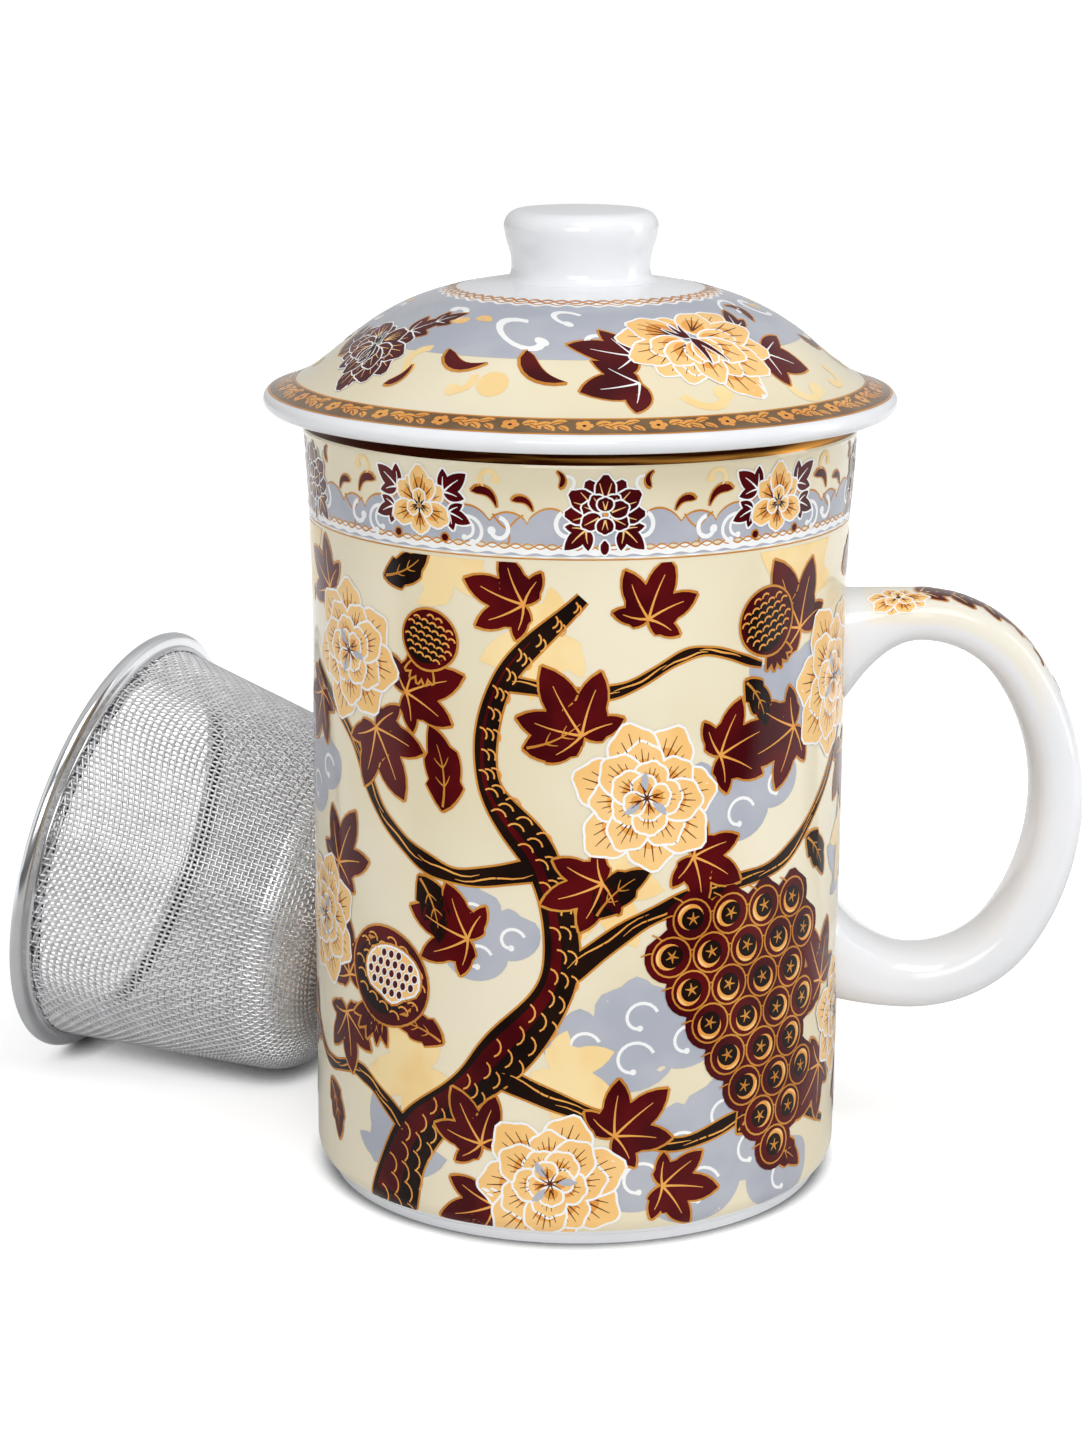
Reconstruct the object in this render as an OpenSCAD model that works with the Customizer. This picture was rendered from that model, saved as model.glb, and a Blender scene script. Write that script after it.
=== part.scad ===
// Lidded porcelain tea mug with a strap handle and a lift-out wire-mesh infuser.
// Frame: the mug stands on the plane z = 0 with its axis on Z, its handle points along +X.
// The lid sits on the mug. The infuser lies on its side beside the mug, its mouth turned away from it.

/* [Mug body] */
// Inside diameter, the same from the lip down to the curve at the floor
mug_bore_d = 69.8; // [64:0.2:82]
// Thickness of the straight part of the wall
mug_wall_t = 4.2; // [2.6:0.1:6]
// Height of the mug without its lid
mug_h = 114.2; // [100:0.2:140]
// Thickness of the floor above the foot recess
mug_floor_t = 4.4; // [3:0.1:8]
// How far the lip flares out past the straight wall
lip_flare = 1.2; // [0.4:0.1:3]
// Height of the flared part below the lip
flare_h = 28; // [15:1:40]
// Radius of the curve between the wall and the foot
heel_r = 3.6; // [3:0.1:8]
// Radius of the curve between the inside wall and the floor
inner_heel_r = 8; // [4:0.5:14]

/* [Foot] */
// Outside diameter of the foot ring
foot_d = 73.4; // [60:0.2:76]
// Width of the flat face of the foot ring
foot_w = 2.4; // [1.5:0.1:5]
// Height of the foot ring
foot_h = 1; // [0.6:0.1:3]

/* [Handle] */
// How far the outer face of the handle stands out from the mug's wall
handle_reach = 35.9; // [28:0.1:46]
// Height of the loop from the middle of its upper bar to the middle of its lower bar
handle_loop_h = 55.5; // [44:0.5:62]
// Height of the loop's middle above the table
handle_mid_z = 56.2; // [48:0.2:66]
// Radius of the loop's two corners, at the middle of the strap
handle_corner_r = 18; // [14:0.5:20]
// Distance from the wall to the centre of the corners
handle_corner_x = 10.9; // [6:0.1:14]
// Width of the strap, across the hand
strap_w = 13.4; // [9:0.2:18]
// Thickness of the strap at its upper bar
strap_t_top = 7.2; // [5:0.1:10]
// Thickness of the strap at its lower bar
strap_t_low = 9; // [5:0.1:11]
// How far the upper root spreads down the wall
root_top_spread = 9; // [4:0.5:12]
// How far the lower root spreads up the wall
root_low_spread = 7; // [4:0.5:12]
// Distance from the wall over which the roots spread
root_len = 11; // [7:0.5:13]
// How far each side of a root spreads round the wall
root_side_spread = 1.8; // [0.5:0.1:3]
// How far the strap's outer face draws in where the lower root meets the wall
root_low_draw = 1.4; // [0:0.1:2]
// How far the lower half of the loop leans out from the upper half
loop_lean = 1.2; // [0:0.1:2.5]

/* [Lid] */
// Outside diameter of the lid's flange
flange_d = 91.4; // [84:0.2:100]
// Thickness of the flange's rounded edge
flange_t = 2.9; // [2:0.1:4]
// Height of the dome from the underside of the flange to the knob's seat
dome_rise = 18.3; // [14:0.1:24]
// Width of the brim, from its edge to the steep shoulder of the dome
brim_w = 11.1; // [8:0.1:14]
// How far the brim curves up before the shoulder
brim_lift = 3.6; // [2:0.1:5]
// How far the crown of the dome drops towards its shoulder
crown_drop = 2.7; // [1.5:0.1:4]
// Thickness of the dome's wall
dome_t = 3.2; // [2.5:0.1:4.5]
// Height of the straight side of the lid's hollow above the flange's underside
hollow_side_h = 4; // [2:0.5:6]
// Gap between the lid's flange and the lip that it rests on
lid_seat_gap = 0.2; // [0.1:0.05:0.4]
// Depth of the collar that hangs inside the mouth, below the flange
collar_depth = 5; // [3:0.5:8]
// Thickness of the collar
collar_t = 2.8; // [2:0.1:4]
// Gap all round between the lid's collar and the infuser's clamp band, when both are on the mug
collar_gap = 0.6; // [0.3:0.1:1.5]

/* [Knob] */
// Diameter of the knob at its widest, near the top
knob_d = 22.1; // [18:0.1:28]
// Diameter of the knob's waist
knob_waist_d = 20; // [15:0.1:21]
// Diameter of the flat seat where the knob is joined to the dome
knob_seat_d = 23.4; // [22:0.1:28]
// Height of the knob above its seat
knob_h = 10.3; // [8:0.1:14]
// Radius of the knob's shoulder
knob_shoulder_r = 2.3; // [1:0.1:3.5]
// How far the middle of the knob's top stands above its shoulder
knob_crown = 0.4; // [0.2:0.1:1]
// Height of the fillet between the knob's waist and its seat
knob_fillet_h = 2.2; // [1.5:0.1:3]

/* [Infuser] */
// How far the infuser's rim reaches past the mug's bore all round, to rest on the lip
rim_rest = 0.7; // [0.5:0.1:2]
// Diameter of the rolled bead round the rim
bead_d = 2; // [1.4:0.1:2.6]
// Thickness of the rim's sheet steel
rim_sheet_t = 0.6; // [0.4:0.1:1]
// Gap all round between the neck below the rim and the mug's bore
neck_gap = 1.3; // [1:0.1:4]
// Length of the neck, from the middle of the rim
neck_len = 1.9; // [1.2:0.1:4]
// Thickness of the woven basket
mesh_t = 0.6; // [0.5:0.1:0.8]
// Depth of the basket from the middle of the rim
basket_depth = 44.5; // [38:0.5:70]
// Outside diameter of the basket at its floor
basket_floor_d = 56; // [48:0.5:60]
// Outside radius of the curve between the basket's wall and floor
basket_heel_r = 10; // [5:0.5:14]
// How far the clamp band inside the mesh reaches below the neck
clamp_reach = 0.7; // [0.5:0.1:4]
// Thickness of the clamp band
clamp_t = 0.5; // [0.4:0.1:0.8]
// Number of openings round the basket in the plain grid that stands in for the wire cloth
grid_columns = 20; // [12:2:24]
// Number of rows of openings down the basket's straight wall
grid_rows = 6; // [4:1:10]
// Width of the strands between the openings
grid_strand = 1.6; // [1:0.1:2.4]

/* [Placement] */
// Gap between the mug's wall and the basket's heel
infuser_gap = 4.5; // [1.5:0.1:30]
// Direction from the mug's axis to the nearest part of the heel, turned from +X
infuser_bearing = 155.9; // [145:0.1:195]
// Direction in which the basket points, turned from +X
infuser_turn = -19.6; // [-40:0.1:10]

/* [Hidden] */

$fn = 96;

porcelain_cream = "#f0e8ce";
porcelain_white = "#f6f5f1";
polished_steel = "#c9cbcd";
woven_steel = "#a9acaf";

// ---- Derived sizes of the mug
bore_r = mug_bore_d / 2;
mug_r = bore_r + mug_wall_t;
foot_r = foot_d / 2;
rim_edge_r = mug_r + lip_flare;
lip_r = (rim_edge_r - bore_r) / 2;
floor_z = foot_h + mug_floor_t;

// ---- Derived sizes of the lid
lid_z = mug_h + lid_seat_gap;
flange_r = flange_d / 2;
edge_r = flange_t / 2;
clamp_len = neck_len + clamp_reach;
clamp_bore_r = bore_r - neck_gap - rim_sheet_t - mesh_t - clamp_t;
collar_r = clamp_bore_r - collar_gap;
collar_bore_r = collar_r - collar_t;
knob_seat_r = knob_seat_d / 2;
knob_z = lid_z + dome_rise;

// ---- Derived sizes of the infuser, in its own upright frame: rim at z = 0, basket hanging below it
bead_r = bead_d / 2;
rim_r = bore_r + rim_rest;
neck_r = bore_r - neck_gap;
mesh_top_r = neck_r - rim_sheet_t;
basket_r = basket_floor_d / 2;

// ---- How the infuser lies: rim and basket heel both touch the table
rest_dx = (rim_r - bead_r) - (basket_r - basket_heel_r);
rest_dz = basket_depth - basket_heel_r;
lie_tilt = acos((basket_heel_r - bead_r) / norm([rest_dx, rest_dz])) - atan2(rest_dz, rest_dx);
rim_centre_z = (rim_r - bead_r) * cos(lie_tilt) + bead_r;
// The heel's curve has its centre at heel_dist from the mug's axis, heel_run from the rim's plane
heel_dist = mug_r + infuser_gap + basket_heel_r;
heel_run = (basket_depth - basket_heel_r) * cos(lie_tilt);
heel_side = basket_r - basket_heel_r;
rim_centre_x = heel_dist * cos(infuser_bearing)
               - heel_run * cos(infuser_turn) - heel_side * sin(infuser_turn);
rim_centre_y = heel_dist * sin(infuser_bearing)
               - heel_run * sin(infuser_turn) + heel_side * cos(infuser_turn);

// ---- Curves
// Points along an arc, from angle a0 to angle a1
function arc(cx, cy, r, a0, a1, steps) =
    [for (i = [0 : steps]) let (a = a0 + (a1 - a0) * i / steps) [cx + r * cos(a), cy + r * sin(a)]];

// Points along a cubic curve with two end points and two handles
function cubic(p0, p1, p2, p3, steps) =
    [for (i = [0 : steps]) let (t = i / steps, u = 1 - t)
        u * u * u * p0 + 3 * u * u * t * p1 + 3 * u * t * t * p2 + t * t * t * p3];

// Radius of the mug's outside at height z: straight, then a long shallow flare to the lip
flare_z = mug_h - flare_h;
flare_arc_r = (flare_h * flare_h + lip_flare * lip_flare) / (2 * lip_flare);
function wall_r(z) = z < flare_z ? mug_r : mug_r + flare_arc_r - sqrt(pow(flare_arc_r, 2) - pow(z - flare_z, 2));

// ---- Mug body
flare_steps = 8;
heel_start_a = -60;
lip_start_a = 12;
module mug_body() {
    lip_z = mug_h - lip_r;
    outside = concat(
        [[foot_r - foot_w, 0], [foot_r, 0]],
        arc(mug_r - heel_r, foot_h + heel_r, heel_r, heel_start_a, 0, 8),
        [for (i = [0 : flare_steps]) let (z = flare_z + (lip_z - flare_z) * i / flare_steps) [wall_r(z), z]]
    );
    lip = arc(rim_edge_r - lip_r, lip_z, lip_r, lip_start_a, 180, 14);
    inside = concat(
        arc(bore_r - inner_heel_r, floor_z + inner_heel_r, inner_heel_r, 0, -90, 8),
        [[0, floor_z], [0, foot_h], [foot_r - foot_w, foot_h]]
    );
    color(porcelain_cream) rotate_extrude() polygon(concat(outside, lip, inside));
}

// ---- Handle: a strap swept along a loop of three arcs and two straight bars
half_loop = handle_loop_h / 2;
corner_x = mug_r + handle_corner_x;
strap_t_mid = strap_t_low + (strap_t_top - strap_t_low) * sqrt(0.5);
loop_x = mug_r + handle_reach - strap_t_mid / 2;
loop_rx = loop_x - corner_x;
// The side arc is tangent to both corner arcs
side_r = (handle_corner_r * 2 * half_loop - half_loop * half_loop - loop_rx * loop_rx)
         / (2 * (handle_corner_r - loop_rx));
side_x = loop_x - side_r;
corner_dz = half_loop - handle_corner_r;
join_a = atan2(corner_dz, corner_x - side_x);
bar_steps = 9;
corner_steps = 7;
side_steps = 14;
strap_sides = 28;
strap_squareness = 2.5;
root_x = mug_r - 2;

// Each station of the loop: [x, z, direction angle of the outward normal, distance from the wall along a bar]
bar_stations = [for (i = [0 : bar_steps - 1]) let (t = i / bar_steps) root_x + (corner_x - root_x) * t];
stations = concat(
    [for (x = bar_stations) [x, handle_mid_z + half_loop, 90]],
    [for (p = arc(corner_x, handle_mid_z + corner_dz, handle_corner_r, 90, join_a, corner_steps))
        [p[0], p[1], atan2(p[1] - handle_mid_z - corner_dz, p[0] - corner_x)]],
    [for (i = [1 : side_steps - 1]) let (a = join_a - 2 * join_a * i / side_steps)
        [side_x + side_r * cos(a), handle_mid_z + side_r * sin(a), a]],
    [for (p = arc(corner_x, handle_mid_z - corner_dz, handle_corner_r, -join_a, -90, corner_steps))
        [p[0], p[1], atan2(p[1] - handle_mid_z + corner_dz, p[0] - corner_x)]],
    [for (i = [1 : bar_steps]) [bar_stations[bar_steps - i], handle_mid_z - half_loop, -90]]
);

// A root grows as the square of the closeness to the wall
function root_growth(x) = pow(max(0, 1 - max(0, x - mug_r) / root_len), 2);
function signed_pow(v, e) = sign(v) * pow(abs(v), e);

// One ring of the strap: a rounded rectangle across the loop at a station
function strap_ring(s) =
    let (
        growth = abs(s[1] - handle_mid_z) < corner_dz ? 0 : root_growth(s[0]),
        upper = s[1] > handle_mid_z,
        spread = growth * (upper ? root_top_spread : root_low_spread),
        draw = upper ? 0 : growth * root_low_draw,
        fall = upper ? 0 : (handle_mid_z - s[1]) / half_loop,
        lean = loop_lean * pow(fall, 2) * (s[0] - mug_r) / handle_reach,
        share = (s[1] - handle_mid_z + half_loop) / (2 * half_loop),
        t = strap_t_low + (strap_t_top - strap_t_low) * sqrt(max(share, 0)),
        w = strap_w + 2 * root_side_spread * growth
    )
    [for (i = [0 : strap_sides - 1])
        let (
            a = 360 * i / strap_sides,
            across = w / 2 * signed_pow(sin(a), 2 / strap_squareness),
            out = (t + spread - draw) / 2 * signed_pow(cos(a), 2 / strap_squareness) - (spread + draw) / 2
        )
        [s[0] + lean + out * cos(s[2]), across, s[1] + out * sin(s[2])]];

module mug_handle() {
    rings = [for (s = stations) strap_ring(s)];
    count = len(rings);
    points = [for (ring = rings) each ring];
    sides = [for (k = [0 : count - 2], i = [0 : strap_sides - 1])
        let (j = (i + 1) % strap_sides, a = k * strap_sides, b = a + strap_sides)
        each [[a + i, b + i, b + j], [a + i, b + j, a + j]]];
    first_cap = [for (i = [0 : strap_sides - 1]) i];
    last_cap = [for (i = [strap_sides - 1 : -1 : 0]) (count - 1) * strap_sides + i];
    color(porcelain_white) difference() {
        polyhedron(points, concat([first_cap], sides, [last_cap]));
        cylinder(r = mug_r, h = mug_h);
    }
}

// ---- Lid: flange, ogee dome, flat seat for the knob and a collar that hangs in the mouth
collar_round_r = 0.8;
module lid_dome() {
    edge_x = flange_r - edge_r;
    top_z = lid_z + flange_t;
    shoulder_x = edge_x - brim_w;
    // The ogee runs from the flange's edge up to the knob's seat
    ogee = cubic([edge_x, top_z], [shoulder_x, top_z + brim_lift], [shoulder_x, knob_z - crown_drop],
                 [knob_seat_r, knob_z], 22);
    // The hollow keeps the same wall below the crown
    hollow_z = knob_z - dome_t;
    under = cubic([collar_bore_r, lid_z + hollow_side_h], [collar_bore_r, hollow_z - crown_drop],
                  [collar_bore_r / 2, hollow_z], [0, hollow_z], 14);
    round_z = lid_z - collar_depth + collar_round_r;
    outline = concat(
        [[0, knob_z]],
        [for (i = [len(ogee) - 1 : -1 : 0]) ogee[i]],
        arc(edge_x, lid_z + edge_r, edge_r, 75, -90, 11),
        [[collar_r, lid_z]],
        arc(collar_r - collar_round_r, round_z, collar_round_r, 0, -90, 4),
        arc(collar_bore_r + collar_round_r, round_z, collar_round_r, -90, -180, 4),
        under
    );
    color(porcelain_cream) rotate_extrude() polygon(outline);
}

// ---- Knob: flared base, waist, wider shoulder and a slightly crowned top
module lid_knob() {
    waist_r = knob_waist_d / 2;
    wide_r = knob_d / 2;
    shoulder_z = knob_z + knob_h - knob_crown - knob_shoulder_r;
    crown_r = wide_r - knob_shoulder_r;
    waist_z = knob_z + knob_fillet_h;
    ease = (shoulder_z - waist_z) / 2.5;
    base = cubic([knob_seat_r, knob_z], [waist_r, knob_z], [waist_r, knob_z + knob_fillet_h / 2],
                 [waist_r, waist_z], 6);
    side = cubic([waist_r, waist_z], [waist_r, waist_z + ease], [wide_r, shoulder_z - ease],
                 [wide_r, shoulder_z], 8);
    shoulder = arc(crown_r, shoulder_z, knob_shoulder_r, 12, 78, 6);
    crown_ball_r = (crown_r * crown_r + knob_crown * knob_crown) / (2 * knob_crown);
    crown_half = asin(crown_r / crown_ball_r);
    crown = arc(0, knob_z + knob_h - crown_ball_r, crown_ball_r, 90 - crown_half, 90, 5);
    color(porcelain_white) rotate_extrude() polygon(concat([[0, knob_z]], base, side, shoulder, crown));
}

// ---- Infuser
// Lays a piece of the upright infuser on the table beside the mug
module laid_down() {
    translate([rim_centre_x, rim_centre_y, rim_centre_z]) rotate([0, lie_tilt - 90, infuser_turn]) children();
}

// Centre of the basket's heel curve, and the angle at which the straight wall meets it
heel_x = basket_r - basket_heel_r;
heel_z = -(basket_depth - basket_heel_r);
wall_dx = mesh_top_r - heel_x;
wall_dz = -neck_len - heel_z;
wall_a = atan2(wall_dz, wall_dx) - acos(basket_heel_r / norm([wall_dx, wall_dz]));

// Profile of the basket's outside, moved in by a depth that is measured square to its surface
function basket_curve(inset) = concat(
    [[mesh_top_r - inset, 0], [mesh_top_r - inset, -neck_len - inset * tan(wall_a / 2)]],
    arc(heel_x, heel_z, basket_heel_r - inset, wall_a, -90, 8),
    [[0, heel_z - basket_heel_r + inset]]
);

// The wire cloth is far too fine for solids, so a plain grid of openings stands in for it
row_h = (-clamp_len - heel_z) / grid_rows;
floor_pitch = 2 * PI * heel_x / grid_columns;
half_strand = grid_strand / 2;
past_wall_r = 1.2 * mesh_top_r;

// An opening between two upright strands, which keep their width from the middle outwards
module wall_opening(from_r, to_r, low, high) {
    function half_a(r) = 180 / grid_columns - asin(half_strand / r);
    function corner(r, side) = r * [cos(half_a(r)), side * sin(half_a(r))];
    translate([0, 0, low]) linear_extrude(high - low)
        polygon([corner(from_r, -1), corner(to_r, -1), corner(to_r, 1), corner(from_r, 1)]);
}

// All openings in one column: the straight wall's rows, then the upper and the lower half of the heel
module column_of_openings() {
    first_r = heel_x + half_strand;
    halfway = basket_heel_r * sin(45);
    gap = half_strand * sin(45);
    for (row = [0 : grid_rows - 1]) let (low = heel_z + row * row_h)
        wall_opening(first_r, past_wall_r, low + half_strand, low + row_h - half_strand);
    wall_opening(first_r, past_wall_r, heel_z - halfway + gap, heel_z - half_strand);
    wall_opening(first_r, heel_x + halfway - gap, -basket_depth - mesh_t, heel_z);
}

// Square openings in the floor, as many as fit inside the heel
module floor_openings() {
    count = floor(heel_x / floor_pitch);
    reach = floor_pitch / 2 - half_strand;
    for (i = [-count : count], j = [-count : count])
        if (norm([abs(i) * floor_pitch + reach, abs(j) * floor_pitch + reach]) <= heel_x - half_strand)
            translate([i * floor_pitch - reach, j * floor_pitch - reach, -basket_depth - mesh_t])
                cube([2 * reach, 2 * reach, 3 * mesh_t]);
}

module infuser_basket() {
    inner = basket_curve(mesh_t);
    color(woven_steel) laid_down() difference() {
        rotate_extrude()
            polygon(concat(basket_curve(0), [for (i = [len(inner) - 1 : -1 : 0]) inner[i]]));
        for (i = [0 : grid_columns - 1]) rotate(360 * i / grid_columns) column_of_openings();
        floor_openings();
    }
}

// Flange with a rolled bead at its edge and a short neck that the mesh passes through
module infuser_rim() {
    sheet = rim_sheet_t / 2;
    bead_x = rim_r - bead_r;
    bead_a = asin(sheet / bead_r);
    neck_bore = mesh_top_r;
    color(polished_steel) laid_down() rotate_extrude() polygon(concat(
        [[neck_bore - mesh_t - clamp_t, sheet], [neck_bore - mesh_t - clamp_t, 0], [neck_bore, 0],
         [neck_bore, -neck_len], [neck_r, -neck_len], [neck_r, -sheet]],
        arc(bead_x, 0, bead_r, 180 + bead_a, 540 - bead_a, 20)
    ));
}

// Band that clamps the top of the mesh from the inside and follows its slope
module infuser_clamp_band() {
    outer = basket_curve(mesh_t);
    inner = basket_curve(mesh_t + clamp_t);
    function on_wall(start) = [start[0] + (clamp_len + start[1]) * tan(wall_a), -clamp_len];
    color(polished_steel) laid_down() rotate_extrude()
        polygon([outer[0], outer[1], on_wall(outer[1]), on_wall(inner[1]), inner[1], inner[0]]);
}

mug_body();
mug_handle();
lid_dome();
lid_knob();
infuser_rim();
infuser_clamp_band();
infuser_basket();
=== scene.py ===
# %% [markdown]
# # A lidded porcelain tea mug with its infuser
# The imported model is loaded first, as a frame that nothing here moves or resizes. Each piece
# made below rides on one of its three bodies: the mug, the lid, or the infuser lying beside it.
# The looks are built from the outside in: camera and light, glazes and metals, the porcelain,
# the steel, and last the printed decoration.

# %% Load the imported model
import bisect
import cmath
import math

import bmesh
import bpy
from mathutils import Matrix, Vector


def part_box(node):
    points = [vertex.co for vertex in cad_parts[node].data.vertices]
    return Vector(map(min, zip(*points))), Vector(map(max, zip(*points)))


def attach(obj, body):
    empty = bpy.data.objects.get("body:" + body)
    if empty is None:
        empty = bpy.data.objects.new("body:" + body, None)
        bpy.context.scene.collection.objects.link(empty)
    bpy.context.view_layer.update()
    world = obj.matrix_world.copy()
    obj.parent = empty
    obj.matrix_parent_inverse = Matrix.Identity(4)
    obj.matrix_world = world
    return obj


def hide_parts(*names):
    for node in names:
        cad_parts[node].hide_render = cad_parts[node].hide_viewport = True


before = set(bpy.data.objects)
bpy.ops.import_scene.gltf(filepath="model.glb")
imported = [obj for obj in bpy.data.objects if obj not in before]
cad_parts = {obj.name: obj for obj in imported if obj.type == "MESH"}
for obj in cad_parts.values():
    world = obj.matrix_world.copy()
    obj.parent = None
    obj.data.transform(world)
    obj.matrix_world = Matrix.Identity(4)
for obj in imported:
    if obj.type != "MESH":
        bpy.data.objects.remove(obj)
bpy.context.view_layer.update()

mm = 0.001

# %% [markdown]
# ## Camera
# The camera stands half a metre in front of the mug and a little above the lid, with a short
# telephoto lens, and looks down by about 14 degrees, as one looks at a mug across a table.
# A rotation matrix built from yaw, pitch and roll is easier to check than three Euler angles.

# %% Camera
camera_place = Vector((-6.76, -473.3, 183.8)) * mm
camera_yaw = 0.0034
camera_pitch = 0.2420
camera_roll = 0.0042
camera_lens = 81.86

camera = bpy.data.objects.new("camera", bpy.data.cameras.new("camera"))
bpy.context.scene.collection.objects.link(camera)
bpy.context.scene.camera = camera
camera.data.lens = camera_lens
camera.data.clip_start = 0.05
camera.matrix_world = (
    Matrix.Translation(camera_place)
    @ Matrix.Rotation(-camera_yaw, 4, "Z")
    @ Matrix.Rotation(math.pi / 2 - camera_pitch, 4, "X")
    @ Matrix.Rotation(camera_roll, 4, "Z")
)
bpy.context.scene.view_settings.view_transform = "Standard"
print("camera looks down by", round(math.degrees(camera_pitch), 1), "degrees")

# %% [markdown]
# ## Shader sums written as sums
# A node tree is a formula drawn with boxes. `Signal` wraps one socket and overloads the
# arithmetic that is used here, so `1 - mask` adds a Math node by itself. `Finish` is one
# material; its `node` method makes any other node, with its settings set before its inputs,
# and `shade` sets or links the sockets of the surface's own shader.

# %% Signal
class Signal:
    """A socket that can be added, subtracted and multiplied."""

    def __init__(self, finish, socket):
        self.finish = finish
        self.socket = socket

    def _sum(self, operation, left, right):
        return self.finish.node("ShaderNodeMath", {"operation": operation}, {0: left, 1: right})

    def __add__(self, other):
        return self._sum("ADD", self, other)

    def __sub__(self, other):
        return self._sum("SUBTRACT", self, other)

    def __rsub__(self, other):
        return self._sum("SUBTRACT", other, self)

    def __mul__(self, other):
        return self._sum("MULTIPLY", self, other)

    def __rmul__(self, other):
        return self._sum("MULTIPLY", other, self)

    def beside(self, output):
        """Another output of the same node."""
        return Signal(self.finish, self.socket.node.outputs[output])


# %% Finish
class Finish:
    """A node tree: a material's, or the world's."""

    def __init__(self, owner):
        owner.use_nodes = True
        self.owner = owner
        self.tree = owner.node_tree

    def node(self, kind, settings=None, inputs=None, output=0):
        made = self.tree.nodes.new(kind)
        for key, value in (settings or {}).items():
            setattr(made, key, value)
        for key, value in (inputs or {}).items():
            self.feed(made.inputs[key], value)
        return Signal(self, made.outputs[output])

    def feed(self, socket, value):
        if isinstance(value, Signal):
            self.tree.links.new(value.socket, socket)
        else:
            socket.default_value = value

    def shade(self, looks):
        for name, value in looks.items():
            self.feed(self.tree.nodes["Principled BSDF"].inputs[name], value)
        return self.owner

    def between(self, value, low, high):
        """0 below low, 1 above high, and a smooth step between them."""
        settings = {"interpolation_type": "SMOOTHSTEP"}
        return self.node("ShaderNodeMapRange", settings, {0: value, 1: low, 2: high, 3: 0.0, 4: 1.0})

    def blend(self, share, first, second):
        """Mixes two colours."""
        settings = {"data_type": "RGBA"}
        return self.node("ShaderNodeMix", settings, {0: share, 6: first, 7: second}, output=2)

    def place(self):
        """Object coordinates, which are the row frame's metres."""
        return self.node("ShaderNodeTexCoord", output=3)

    def along(self, axis):
        """One object coordinate: 0 is X, 1 is Y and 2 is Z."""
        return self.node("ShaderNodeSeparateXYZ", {}, {0: self.place()}, output=axis)

    def stretched(self, by):
        return self.node("ShaderNodeVectorMath", {"operation": "MULTIPLY"}, {0: self.place(), 1: by})

    def length(self, vector):
        return self.node("ShaderNodeVectorMath", {"operation": "LENGTH"}, {0: vector}, output=1)

    def noise(self, scale, detail=2.0, where=None):
        inputs = {"Vector": where or self.place(), "Scale": scale, "Detail": detail}
        return self.node("ShaderNodeTexNoise", {}, inputs)


def material(name):
    return Finish(bpy.data.materials.new(name))


def colour(red, green, blue):
    """A colour written as 0 to 255, as a linear one."""
    def linear(value):
        share = value / 255
        return share / 12.92 if share <= 0.04045 else ((share + 0.055) / 1.055) ** 2.4
    return (linear(red), linear(green), linear(blue), 1.0)


# %% [markdown]
# ## Studio
# The object is lit like a catalogue shot: a pale tent all round, a large soft lamp above, one
# behind the camera, and a tall one on each side that models the round of the mug. The
# white background is only what the camera and mirror-like surfaces see; the light that falls on
# the object stays at a plain level, so a colour comes out about as it is written. The room in
# front of the tent and its roof are darker, which gives the steel something dark to reflect.

# %% World and lamps
tent_level = 0.36
room_level = 0.28
backdrop_level = 0.62
overhead_level = 0.75
world = Finish(bpy.data.worlds.new("tent"))
bpy.context.scene.world = world.owner
seen = world.node("ShaderNodeLightPath", output=0)
mirrored = seen.beside("Is Glossy Ray")
direct = seen + mirrored + seen.beside("Is Transmission Ray")
towards = world.node("ShaderNodeTexCoord", output=0)


def ray_along(direction):
    """How far a ray points along a direction, from -1 to about 1."""
    return world.node("ShaderNodeVectorMath", {"operation": "DOT_PRODUCT"}, {0: towards, 1: direction}, 1)


frontal = ray_along((0.1, -1, 0.1))
room = mirrored * world.between(frontal, 0.05, 0.75) * (1.0 - room_level)
backdrop = mirrored * world.between(frontal, -0.15, -0.80) * (1.0 - backdrop_level)
overhead = mirrored * world.between(ray_along((0, 0, 1)), 0.30, 0.85) * (1.0 - overhead_level)
tent = world.tree.nodes["Background"].inputs
tent["Color"].default_value = (1.0, 1.0, 1.0, 1.0)
tent_strength = world.between(direct, 0.0, 1.0) * (1.0 - tent_level) + tent_level
world.feed(tent["Strength"], tent_strength * (1 - room - backdrop) * (1 - overhead))


def lamp(name, place, aim, size, power):
    """A soft rectangular lamp at a place, turned towards a point."""
    made = bpy.data.objects.new(name, bpy.data.lights.new(name, "AREA"))
    made.data.shape = "RECTANGLE"
    made.data.size, made.data.size_y = size
    made.data.energy = power
    made.location = place
    made.rotation_euler = (Vector(aim) - Vector(place)).to_track_quat("-Z", "Y").to_euler()
    bpy.context.scene.collection.objects.link(made)
    print(name, power, "W")


lamp("lamp_above", (0.22, -0.50, 0.85), (0.0, 0.0, 0.06), (0.7, 0.5), 4.15)
lamp("lamp_front", (-0.10, -0.95, 0.40), (0.0, 0.0, 0.06), (0.6, 0.4), 2.7)
lamp("lamp_left", (-0.72, -0.20, 0.28), (-0.01, 0.0, 0.07), (0.10, 0.6), 0.1)
lamp("lamp_right", (0.75, 0.05, 0.30), (0.0, 0.0, 0.07), (0.22, 0.6), 0.9)
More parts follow.
